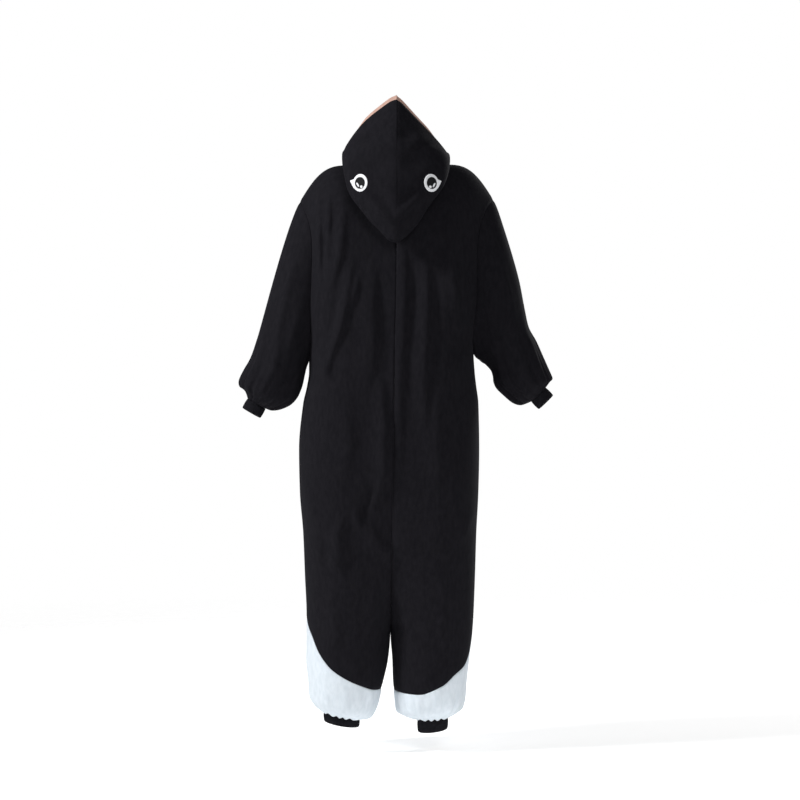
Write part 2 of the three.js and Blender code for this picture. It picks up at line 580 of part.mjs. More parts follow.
function wristCuff(side) {
  const end = WRIST_ENDS[side];
  const along = vec(end.alongX, 0, end.alongZ).normalize();
  const across = vec(-along.z, 0, along.x).multiplyScalar(side);
  const tip = vec(end.x, 0, end.z);
  const rings = [0, 0.5, 1].map((share) => (angle, inward) => {
    const back = -(WRIST_CUFF.length - SEAM_GAP) * (1 - share);
    const swell = 1 + CUFF_SWELL * Math.sin(Math.PI * share);
    return tip.clone().addScaledVector(along, back)
      .addScaledVector(across, Math.cos(angle) * (end.halfWidth * swell - inward))
      .add(vec(0, Math.sin(angle) * (WRIST_CUFF.halfDepth * swell - inward), 0));
  });
  return ribCuff(rings, WRIST_CUFF.ribs, WRIST_CUFF.ribHeight);
}

function ankleCuff(side) {
  const end = ANKLE_ENDS[side];
  const rings = [0, 0.5, 1].map((share) => (angle, inward) => {
    const x = Math.cos(angle) * (end.halfWidth - inward);
    const depth = Math.sin(angle) > 0 ? end.back : end.front;
    const low = end.bottom + (end.tilt * x) / end.halfWidth;
    const top = HEM_HEIGHT - SEAM_GAP * 2 + hemShift(side, end.x + x, HEM_HEIGHT);
    return vec(end.x + x, Math.sin(angle) * (depth - inward), mix(top, low, share));
  });
  return ribCuff(rings, ANKLE_CUFF.ribs, ANKLE_CUFF.ribHeight);
}

// A point of the hood. around goes from the centre back to the centre front, along from neck to face edge.
function hoodPoint(side, around, along) {
  const angle = THREE.MathUtils.degToRad(curveValue(HOOD.map((s) => s.neck), around));
  const neck = neckSeamPoint(side, angle);
  neck.z += NECK_SEAM_GAP;
  const scale = side === LEFT ? HOOD_SCALE_LEFT : HOOD_SCALE_RIGHT;
  const squash = side === RIGHT ? HOOD_SQUASH.share * curveValue(HOOD.map((s) => s.squash), around) : 0;
  const points = HOOD[0].path.map((unused, k) => {
    const at = (axis) => curveValue(HOOD.map((s) => s.path[k][axis]), around);
    const z = k < HOOD_SQUASH.firstPoint ? at(2) : mix(at(2), HOOD_SQUASH.middle, squash);
    return vec(HOOD_MIDDLE + side * scale * at(0), at(1), z);
  });
  const curve = new THREE.CatmullRomCurve3([neck, ...points], false, 'centripetal');
  return curve.getPoint(along);
}

function curveValue(values, share) {
  const last = values.length - 1;
  const k = Math.min(Math.floor(share * last), last - 1);
  const s = share * last - k;
  const at = (i) => values[THREE.MathUtils.clamp(i, 0, last)];
  const startSlope = k === 0 ? 0 : (at(k + 1) - at(k - 1)) / 2;
  const endSlope = (at(k + 2) - at(k)) / 2;
  const bend = s * s * (3 - 2 * s);
  return mix(at(k), at(k + 1), bend) + startSlope * s * (1 - s) ** 2 - endSlope * s * s * (1 - s);
}

function hoodGrid(side) {
  const grid = [];
  for (let i = 0; i <= HOOD_ROWS; i += 1) {
    const row = [];
    for (let j = 0; j <= HOOD_COLUMNS; j += 1) {
      row.push(hoodPoint(side, (j / HOOD_COLUMNS) ** HOOD_COLUMN_POWER, i / HOOD_ROWS));
    }
    grid.push(row);
  }
  return grid;
}

const hoodOutward = (point, i) => (i > HOOD_ROWS * HOOD_OUTER_SHARE ? vec(0, 1, 0) : vec(0, 0, 0));

function addHood(side) {
  const grid = hoodGrid(side);
  const normals = gridNormals(grid, hoodOutward);
  normals.forEach((row) => row[0].setX(0).normalize());
  const outer = insetEdges(grid, { start: HALF_GAP });
  addPiece(`hood_${SIDE_NAME[side]}`, wallGeometry(outer, normals, WALL), FINISH.blackFleece);
  addPeakUnderside(side, grid, normals);
}

// The underside of the peak lies inside the hood's edge and stands past it as a rim.
function addPeakUnderside(side, hood, hoodNormals) {
  const cut = (grid) => grid.slice(-PEAK.rows).map((row) => row.slice(0, PEAK.columns + 1));
  const normals = cut(hoodNormals).map((row) => row.map((n) => n.clone()));
  const inside = cut(hood).map((row, i) => row.map((p, j) => (
    p.clone().addScaledVector(normals[i][j], -(WALL + PEAK.clearance)))));
  const rim = inside.at(-1).map((p, j) => {
    const way = hood.at(-1)[j].clone().sub(hood.at(-2)[j]).normalize();
    return p.clone().addScaledVector(way, PEAK.rim * Math.min(1, PEAK.rimAtEdge + (PEAK.columns - j) / 2));
  });
  inside.push(rim);
  normals.push(normals.at(-1).map((n) => n.clone()));
  const outer = insetEdges(inside, { start: HALF_GAP });
  addPiece(`peak_underside_${SIDE_NAME[side]}`, wallGeometry(outer, normals, WALL), FINISH.salmonFleece);
}

const limited = (value, [low, high]) => THREE.MathUtils.clamp(value, low, high);

// Finds the place on the hood's outer layer that lies behind a given x and z.
function hoodPlace(side, x, z) {
  const { nudge } = HOOD_SEARCH;
  let { around, along } = HOOD_SEARCH;
  for (let turn = 0; turn < HOOD_SEARCH.turns; turn += 1) {
    const here = hoodPoint(side, around, along);
    const right = hoodPoint(side, around + nudge, along).sub(here).divideScalar(nudge);
    const up = hoodPoint(side, around, along + nudge).sub(here).divideScalar(nudge);
    const area = right.x * up.z - right.z * up.x;
    const missX = x - here.x;
    const missZ = z - here.z;
    around = limited(around + (missX * up.z - missZ * up.x) / area, HOOD_SEARCH.aroundRange);
    along = limited(along + (right.x * missZ - right.z * missX) / area, HOOD_SEARCH.alongRange);
  }
  const here = hoodPoint(side, around, along);
  const right = hoodPoint(side, around + nudge, along).sub(here);
  const up = hoodPoint(side, around, along + nudge).sub(here);
  const normal = right.cross(up).normalize();
  if (normal.y < 0) normal.negate();
  return { here, normal };
}

// A flat applique on the hood: rings of points from its middle to its outline, lifted off the cloth.
function applique(side, outline, lift, wall, spokes) {
  const top = [];
  const bottom = [];
  const place = (share, angle) => {
    const offset = outline(angle);
    const { here, normal } = hoodPlace(side, offset.x * share + offset.midX, offset.z * share + offset.midZ);
    bottom.push(here.clone().addScaledVector(normal, lift));
    top.push(here.clone().addScaledVector(normal, lift + wall));
  };
  APPLIQUE.rings.forEach((share) => {
    for (let k = 0; k < spokes; k += 1) place(share, (2 * Math.PI * k) / spokes);
  });
  place(0, 0);
  const count = top.length;
  const faces = [];
  const quad = (a, b, c, d) => faces.push(a, b, c, a, c, d);
  for (let k = 0; k < spokes; k += 1) {
    const n = (k + 1) % spokes;
    for (let r = 0; r < APPLIQUE.rings.length - 1; r += 1) {
      quad(r * spokes + k, r * spokes + n, (r + 1) * spokes + n, (r + 1) * spokes + k);
      const low = count + r * spokes;
      quad(low + k, low + spokes + k, low + spokes + n, low + n);
    }
    const ring = (APPLIQUE.rings.length - 1) * spokes;
    faces.push(ring + k, ring + n, count - 1);
    faces.push(count + ring + n, count + ring + k, 2 * count - 1);
    quad(k, count + k, count + n, n);
  }
  const positions = [...top, ...bottom].flatMap((p) => [p.x, p.y, p.z]);
  return oriented(positions, faces);
}

function oval(midX, midZ, halfWidth, halfHeight) {
  return (angle) => ({ midX, midZ, x: Math.cos(angle) * halfWidth, z: Math.sin(angle) * halfHeight });
}

function eyeOutline(side, eye) {
  return (angle) => {
    const place = oval(eye.x, eye.z, EYE.halfWidth, EYE.halfHeight)(angle);
    const lashAngle = side === LEFT ? EYE.lashAngle : Math.PI - EYE.lashAngle;
    const away = Math.atan2(Math.sin(angle - lashAngle), Math.cos(angle - lashAngle));
    place.x += side * EYE.lash * Math.exp(-((away / EYE.lashSpread) ** 2));
    return place;
  };
}

function addEye(side) {
  const eye = EYES[side];
  const name = SIDE_NAME[side];
  const step = APPLIQUE_WALL + SEAM_GAP;
  const { lift, glintWall, whiteSpokes, pupilSpokes, glintSpokes } = APPLIQUE;
  const white = applique(side, eyeOutline(side, eye), lift, APPLIQUE_WALL, whiteSpokes);
  addPiece(`eye_white_${name}`, white, FINISH.eyeWhite);
  const pupilShape = oval(eye.x, eye.z, EYE.pupilWidth, EYE.pupilHeight);
  const pupil = applique(side, pupilShape, lift + step, APPLIQUE_WALL, pupilSpokes);
  addPiece(`pupil_${name}`, pupil, FINISH.blackFleece);
  eye.glints.forEach((glint, k) => {
    const shape = oval(eye.x + glint.x, eye.z + glint.z, glint.halfWidth, glint.halfHeight);
    addPiece(`glint_${name}_${k + 1}`, applique(side, shape, lift + step * 2, glintWall, glintSpokes), FINISH.eyeWhite);
  });
}

// Fronts: the belly from the centre front to its edge, and the side front from there to the side.
const bellyShare = (z) => (z < BELLY_TIP ? 1 : tableValue(BELLY_EDGE, 'z', 'share', z));

function resampled(row, from, to, count) {
  const last = row.length - 1;
  return [...Array(count + 1).keys()].map((k) => {
    const at = mix(from, to, k / count) * last;
    const i = Math.min(Math.floor(at), last - 1);
    return row[i].clone().lerp(row[i + 1], at - i);
  });
}

function blendedNormals(normals, from, to, count) {
  return resampled(normals, from, to, count).map((n) => n.normalize());
}

function addFront(side, rows, normals, lowRows, lowNormals) {
  const name = SIDE_NAME[side];
  const edges = rows.map((row) => bellyShare(row[Math.floor(row.length / 2)].z));
  const belly = [
    ...lowRows.map((row) => resampled(row, 0, 1, BELLY_COLUMNS)),
    ...rows.map((row, i) => resampled(row, 0, edges[i], BELLY_COLUMNS)),
  ];
  const bellyNormals = [
    ...lowNormals.map((row) => blendedNormals(row, 0, 1, BELLY_COLUMNS)),
    ...normals.map((row, i) => blendedNormals(row, 0, edges[i], BELLY_COLUMNS)),
  ];
  const bellyOuter = insetEdges(belly, { start: HALF_GAP, end: HALF_GAP });
  addPiece(`front_belly_${name}`, wallGeometry(bellyOuter, bellyNormals, WALL), FINISH.whiteFleece);
  const sides = rows.map((row, i) => resampled(row, edges[i], 1, SIDE_COLUMNS));
  const sideNormals = normals.map((row, i) => blendedNormals(row, edges[i], 1, SIDE_COLUMNS));
  const sideOuter = insetEdges(sides, { last: HALF_GAP, start: HALF_GAP, end: HALF_GAP, first: HALF_GAP });
  addPiece(`front_side_${name}`, wallGeometry(sideOuter, sideNormals, WALL), FINISH.blackFleece);
}

function hemShift(side, x, z) {
  const { middle, reach, lower, tilt } = HEM_TILT[side];
  const fade = THREE.MathUtils.clamp((HEM_TILT_TOP - z) / (HEM_TILT_TOP - HEM_HEIGHT), 0, 1);
  return (lower + (tilt * (x - middle)) / reach) * fade;
}

function hemRows(side, face, topAt) {
  const columns = [...Array(HALF_COLUMNS + 1).keys()];
  const rows = HEM_HEIGHTS.map((z) => columns.map((j) => {
    const point = gathered(side, face, bodyPoint(side, face, z, j / HALF_COLUMNS), j, z);
    point.z += hemShift(side, point.x, z);
    return point;
  }));
  for (const step of HEM_TOP_STEPS) {
    rows.push(columns.map((j) => {
      const share = j / HALF_COLUMNS;
      return bodyPoint(side, face, mix(HEM_HEIGHTS.at(-1), topAt(share), step), share);
    }));
  }
  return rows;
}

const buttonBandRows = {};

function addSide(side) {
  const name = SIDE_NAME[side];
  const tail = (share) => tailHeight(side, share);
  const tip = () => BELLY_TIP;
  const back = bodyRows(side, BACK, tail, TAIL_STEPS);
  const front = bodyRows(side, FRONT, tip, BELLY_STEPS);
  const loop = armholeLoop(back, front);
  const sleeve = sleeveGrid(side, loop);
  const sleeveOut = (point) => vec(0, point.y, 0);
  const sleeveNormals = gridNormals(sleeve, sleeveOut, true);
  const backNormals = gridNormals(back, outwardFrom(side, BACK));
  const frontNormals = gridNormals(front, outwardFrom(side, FRONT));

  const seamRows = ARMHOLE_HEIGHTS.length + YOKE_STEPS.length + 1;
  const seam = sleeveNormals[0];
  const share = (rowNormals, k) => {
    const own = rowNormals[rowNormals.length - seamRows + (k <= seamRows - 1 ? k : seam.length - k)].at(-1);
    return seam[k].clone().add(own).normalize();
  };
  for (let k = 0; k < seam.length; k += 1) {
    const middle = k === 0 || k === seamRows - 1;
    seam[k] = share(k < seamRows ? backNormals : frontNormals, k);
    if (middle) seam[k].setY(0).normalize();
  }
  const backSeam = seam.slice(0, seamRows);
  const frontSeam = [seam[0], ...seam.slice(seamRows).reverse(), seam[seamRows - 1]];
  matchSeams(side, backNormals, (i, j) => back[i][j].z, backSeam);
  matchSeams(side, frontNormals, (i, j) => front[i][j].z, frontSeam);

  const backOuter = insetEdges(back, { first: HALF_GAP, start: HALF_GAP, end: HALF_GAP });
  insetShoulder(backOuter, back);
  addPiece(`back_${name}`, wallGeometry(backOuter, backNormals, WALL), FINISH.blackFleece);

  const hem = hemRows(side, BACK, tail);
  const hemNormals = gridNormals(hem, outwardFrom(side, BACK));
  matchSeams(side, hemNormals, () => 0, null);
  hem.at(-1).forEach((p, j) => hemNormals.at(-1)[j].copy(backNormals[0][j]));
  const hemOuter = insetEdges(hem, { last: HALF_GAP, start: HALF_GAP, end: HALF_GAP });
  addPiece(`back_leg_${name}`, wallGeometry(hemOuter, hemNormals, WALL), FINISH.whiteFleece);

  const frontHem = hemRows(side, FRONT, () => BELLY_TIP - BELLY_TIP_DROP);
  const frontHemNormals = gridNormals(frontHem, outwardFrom(side, FRONT));
  matchSeams(side, frontHemNormals, (i) => (i < frontHem.length - 1 ? 0 : CROTCH + 1), null);
  addFront(side, front, frontNormals, frontHem, frontHemNormals);
  buttonBandRows[side] = front;

  const sleeveOuter = insetEdges(sleeve, { first: ARMHOLE_GAP });
  addPiece(`sleeve_${name}`, wallGeometry(sleeveOuter, sleeveNormals, WALL, true), FINISH.blackFleece);
  addPiece(`wrist_cuff_${name}`, wristCuff(side), FINISH.blackRib);
  addPiece(`ankle_cuff_${name}`, ankleCuff(side), FINISH.blackRib);
}

function insetShoulder(outer, grid) {
  const top = grid.length - 1;
  for (let j = NECK_COLUMNS; j < grid[0].length; j += 1) {
    const way = grid[top - 1][j].clone().sub(grid[top][j]).normalize();
    outer[top][j].addScaledVector(way, HALF_GAP);
  }
}

// The button band lies on the belly along the centre front; the buttons sit on the band.
function frontSurface(x, z) {
  const side = x >= centreAt(z) ? LEFT : RIGHT;
  const row = side === LEFT ? frontLine(LEFT, z) : frontLine(RIGHT, z);
  let k = 0;
  while (k < row.length - 2 && (row[k + 1].x - x) * side < 0) k += 1;
  const share = THREE.MathUtils.clamp((x - row[k].x) / (row[k + 1].x - row[k].x), 0, 1);
  return mix(row[k].y, row[k + 1].y, share);
}

function centreAt(z) {
  return z > CHEST_HEIGHT ? HOOD_MIDDLE : tableValue(BODY, 'z', 'innerLeft', z);
}

function frontLine(side, z) {
  const rows = buttonBandRows[side];
  const last = rows.length - 1;
  return rows[0].map((unused, j) => {
    let i = 0;
    while (i < last - 1 && rows[i + 1][j].z < z) i += 1;
    const share = THREE.MathUtils.clamp((z - rows[i][j].z) / (rows[i + 1][j].z - rows[i][j].z), 0, 1);
    return rows[i][j].clone().lerp(rows[i + 1][j], share);
  });
}

function addButtonBand() {
  const grid = [];
  for (let i = 0; i <= BAND.rows; i += 1) {
    const z = mix(BAND.bottom, BAND.top, i / BAND.rows);
    grid.push([-1, -0.4, 0.4, 1].map((share) => {
      const x = centreAt(z) + share * BAND.halfWidth;
      return vec(x, frontSurface(x, z) - BAND.lift - BAND.wall, z);
    }));
  }
  const normals = grid.map((row) => row.map(() => vec(0, -1, 0)));
  addPiece('button_band', wallGeometry(grid, normals, BAND.wall), FINISH.whiteFleece);
  for (let k = 0; k < BUTTON.count; k += 1) {
    const z = BUTTON.first - k * BUTTON.spacing;
    const profile = [
      new THREE.Vector2(0, 0), new THREE.Vector2(BUTTON.radius - 0.8, 0),
      new THREE.Vector2(BUTTON.radius, BUTTON.thickness * 0.4),
      new THREE.Vector2(BUTTON.radius - 0.6, BUTTON.thickness),
      new THREE.Vector2(BUTTON.radius * 0.68, BUTTON.thickness),
      new THREE.Vector2(BUTTON.radius * 0.6, BUTTON.thickness * 0.72), new THREE.Vector2(0, BUTTON.thickness * 0.72),
    ];
    const geometry = new THREE.LatheGeometry(profile, BUTTON.sides);
    geometry.deleteAttribute('uv');
    const mesh = new THREE.Mesh(geometry, material(FINISH.button));
    const slope = (frontSurface(centreAt(z), z + 15) - frontSurface(centreAt(z), z - 15)) / 30;
    const stand = BAND.lift + BAND.wall + BUTTON.clearance;
    mesh.name = `button_${k + 1}`;
    mesh.position.set(centreAt(z), frontSurface(centreAt(z), z) - stand, z);
    mesh.rotation.x = Math.PI - Math.atan(slope);
    costume.add(mesh);
  }
}

[LEFT, RIGHT].forEach((side) => {
  addSide(side);
  addHood(side);
  addEye(side);
});
addButtonBand();

export default costume;
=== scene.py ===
"""A hooded penguin costume in fleece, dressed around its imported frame.

Lengths in the tables are millimetres above the soles, as a maker would measure the garment;
``metres`` turns them into the frame's metres, whose origin is the centre of the neck.
"""
import logging
import math
from dataclasses import dataclass, field
from enum import Enum
from typing import Callable, Optional, Sequence

import bpy
import numpy as np
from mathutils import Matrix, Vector
from mathutils.bvhtree import BVHTree


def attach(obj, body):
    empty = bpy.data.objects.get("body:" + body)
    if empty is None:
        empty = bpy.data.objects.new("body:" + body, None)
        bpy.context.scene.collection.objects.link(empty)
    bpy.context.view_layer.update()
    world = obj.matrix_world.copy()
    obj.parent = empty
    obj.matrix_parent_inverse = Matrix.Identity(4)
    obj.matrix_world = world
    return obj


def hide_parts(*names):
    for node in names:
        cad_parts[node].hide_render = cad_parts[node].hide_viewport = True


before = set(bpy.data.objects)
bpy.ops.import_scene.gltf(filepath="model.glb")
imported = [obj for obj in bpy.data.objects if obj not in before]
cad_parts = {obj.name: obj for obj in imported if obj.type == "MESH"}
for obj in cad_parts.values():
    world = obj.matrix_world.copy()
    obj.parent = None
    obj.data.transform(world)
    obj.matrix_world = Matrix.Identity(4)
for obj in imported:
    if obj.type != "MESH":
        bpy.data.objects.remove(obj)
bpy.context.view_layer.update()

log = logging.getLogger("costume")

NECK_HEIGHT = 1395.0
MM = 0.001
WALL = 2.0
SEAM_HALF = 0.02
BODY_NAME = "root"

# Every crease lies deeper than its table says, by this factor. It starts and ends soft and narrow.
FOLD_GAIN = 1.5
FOLD_START = 0.06
FOLD_SPAN = 0.88
FOLD_FADE_POWER = 0.7
FOLD_END_WIDTH = 0.75
FOLD_WIDTH_GAIN = 0.5

# How deep and how wide a sewn edge turns in, for each cloth.
BLACK_ROLL = (1.3, 4.5)
HOOD_ROLL = (1.3, 4.0)
SIDE_ROLL = (1.1, 4.0)
WHITE_ROLL = (1.0, 4.0)

Array = np.ndarray
Pair = tuple[float, float]
Triple = tuple[float, float, float]
Outline = Callable[[float], Pair]
Piece = bpy.types.Object
Socket = bpy.types.NodeSocket
Tree = bpy.types.NodeTree


class Side(Enum):
    """The wearer's sides; the value is the sign of x."""

    LEFT = 1
    RIGHT = -1

    @property
    def word(self) -> str:
        """The side's name as the frame's nodes spell it."""
        return self.name.lower()


class Face(Enum):
    """The two faces of the garment; the value is the sign of y."""

    BACK = 1
    FRONT = -1


class Edge(Enum):
    """The edges of a cloth grid."""

    FIRST_ROW = "first_row"
    LAST_ROW = "last_row"
    FIRST_COLUMN = "first_column"
    LAST_COLUMN = "last_column"


def metres(points: Array) -> Array:
    """Turn millimetres above the soles into the frame's metres.

    Args:
        points: Points of any shape whose last axis is x, y, z.

    Returns:
        The same points in metres about the neck.
    """
    moved = np.array(points, dtype=float)
    moved[..., 2] -= NECK_HEIGHT
    return moved * MM


def unit(vectors: Array) -> Array:
    """Scale vectors to length one.

    Args:
        vectors: Vectors along the last axis.

    Returns:
        Unit vectors.
    """
    return vectors / np.maximum(np.linalg.norm(vectors, axis=-1, keepdims=True), 1e-9)


def smooth_table(keys: Sequence[float], values: Sequence[float], at: Array) -> Array:
    """Read a table smoothly, with no overshoot between its rows.

    Args:
        keys: Rising keys of the rows.
        values: The column's values.
        at: Where to read it.

    Returns:
        The values there.
    """
    x, y = np.asarray(keys, float), np.asarray(values, float)
    step, rise = np.diff(x), np.diff(y) / np.diff(x)
    slope = np.empty_like(y)
    slope[0], slope[-1] = rise[0], rise[-1]
    before, after = rise[:-1], rise[1:]
    total = np.where(np.abs(before + after) < 1e-12, 1.0, before + after)
    slope[1:-1] = np.where(before * after <= 0, 0.0, 2 * before * after / total)
    where = np.clip(np.asarray(at, float), x[0], x[-1])
    i = np.clip(np.searchsorted(x, where, side="right") - 1, 0, len(x) - 2)
    s = (where - x[i]) / step[i]
    bend = s * s * (3 - 2 * s)
    start = slope[i] * step[i] * s * (1 - s) ** 2
    end = -slope[i + 1] * step[i] * s * s * (1 - s)
    return y[i] + (y[i + 1] - y[i]) * bend + start + end


def smooth_list(values: Array, share: float) -> Array:
    """Read evenly spaced values smoothly.

    Args:
        values: Values along the first axis.
        share: Place from 0, the first, to 1, the last.

    Returns:
        The value there.
    """
    last = len(values) - 1
    k = min(int(share * last), last - 1)
    s = share * last - k

    def read(i: int) -> Array:
        """Return a value, held at the ends."""
        return values[min(max(i, 0), last)]

    start = 0 * read(k) if k == 0 else (read(k + 1) - read(k - 1)) / 2
    end = (read(k + 2) - read(k)) / 2
    bend = s * s * (3 - 2 * s)
    return read(k) + (read(k + 1) - read(k)) * bend + start * s * (1 - s) ** 2 - end * s * s * (1 - s)


def spline(points: Array, shares: Array) -> Array:
    """Run a centripetal curve through points, at even shares of its spans.

    Args:
        points: Control points, one a row.
        shares: Places from 0 to 1.

    Returns:
        One point for each share.
    """
    count = len(points)
    padded = np.vstack([2 * points[0] - points[1], points, 2 * points[-1] - points[-2]])
    at = np.clip(shares, 0, 1) * (count - 1)
    k = np.minimum(at.astype(int), count - 2)
    s = (at - k)[:, None]
    p0, p1, p2, p3 = (padded[k + i] for i in range(4))
    spans = ((p0, p1), (p1, p2), (p2, p3))
    d0, d1, d2 = (np.sqrt(np.linalg.norm(b - a, axis=1))[:, None] for a, b in spans)
    t1 = ((p1 - p0) / d0 - (p2 - p0) / (d0 + d1) + (p2 - p1) / d1) * d1
    t2 = ((p2 - p1) / d1 - (p3 - p1) / (d1 + d2) + (p3 - p2) / d2) * d1
    return p1 + t1 * s + (-3 * p1 + 3 * p2 - 2 * t1 - t2) * s**2 + (2 * p1 - 2 * p2 + t1 + t2) * s**3


def evenly(points: Array, count: int) -> Array:
    """Space points evenly along a polyline.

    Args:
        points: The polyline.
        count: How many steps to make.

    Returns:
        ``count + 1`` points.
    """
    lengths = np.concatenate([[0], np.cumsum(np.linalg.norm(np.diff(points, axis=0), axis=1))])
    targets = np.linspace(0, lengths[-1], count + 1)
    return np.stack([np.interp(targets, lengths, points[:, axis]) for axis in range(3)], axis=1)


def bell(distance: Array, width: float | Array) -> Array:
    """Soft bump of height one.

    Args:
        distance: Distance from the middle.
        width: Half width of the bump.

    Returns:
        The bump's height there.
    """
    return np.exp(-((distance / width) ** 2))


@dataclass(frozen=True)
class Crease:
    """A soft ridge or trough laid along a given path on one face.

    Attributes:
        face: The face that it lies on.
        path: Points (x, height) from its start to its end.
        width: Half width of the fold.
        height: How far it stands out; minus is a trough.
        lean: How much its one flank is steeper, from -0.6 to 0.6.
    """

    face: Face
    path: tuple[Pair, ...]
    width: float
    height: float
    lean: float = 0.0

    def lift(self, x: Array, z: Array) -> Array:
        """Height of the fold at points of the face.

        Args:
            x: Sideways places.
            z: Heights above the soles.

        Returns:
            The lift in millimetres.
        """
        path = np.array(self.path, float)
        runs = np.linalg.norm(np.diff(path, axis=0), axis=1)
        starts = np.concatenate([[0], np.cumsum(runs)])
        best = np.full(x.shape, 1e9)
        signed = np.zeros(x.shape)
        along = np.zeros(x.shape)
        for k, run in enumerate(runs):
            way = (path[k + 1] - path[k]) / run
            dx, dz = x - path[k][0], z - path[k][1]
            at = np.clip(dx * way[0] + dz * way[1], 0, run)
            offset_x, offset_z = dx - way[0] * at, dz - way[1] * at
            away = np.hypot(offset_x, offset_z)
            nearer = away < best
            best = np.where(nearer, away, best)
            signed = np.where(nearer, np.sign(offset_x * way[1] - offset_z * way[0]), signed)
            along = np.where(nearer, (starts[k] + at) / starts[-1], along)
        fade = np.sin(np.pi * np.clip(FOLD_START + FOLD_SPAN * along, 0, 1)) ** FOLD_FADE_POWER
        width = self.width * (1 - self.lean * signed) * (FOLD_END_WIDTH + FOLD_WIDTH_GAIN * fade)
        return FOLD_GAIN * self.height * fade * bell(best, width)


@dataclass(frozen=True)
class Section:
    """One horizontal section of the body and legs.

    Attributes:
        z: Height above the soles.
        left: Outline on the wearer's left.
        right: Outline on the wearer's right.
        inner_left: Centre line, or the left leg's inner edge.
        inner_right: Centre line, or the right leg's inner edge.
        back: Depth behind.
        front: Depth in front.
        cleft: Depth at the centre line, as a share of the full depth.
        power: Roundness of the section.
    """

    z: float
    left: float
    right: float
    inner_left: float
    inner_right: float
    back: float
    front: float
    cleft: float
    power: float


@dataclass(frozen=True)
class Shoulder:
    """Where one side's neck, shoulder point and underarm lie."""

    neck_x: float
    point_x: float
    point_z: float
    underarm: float


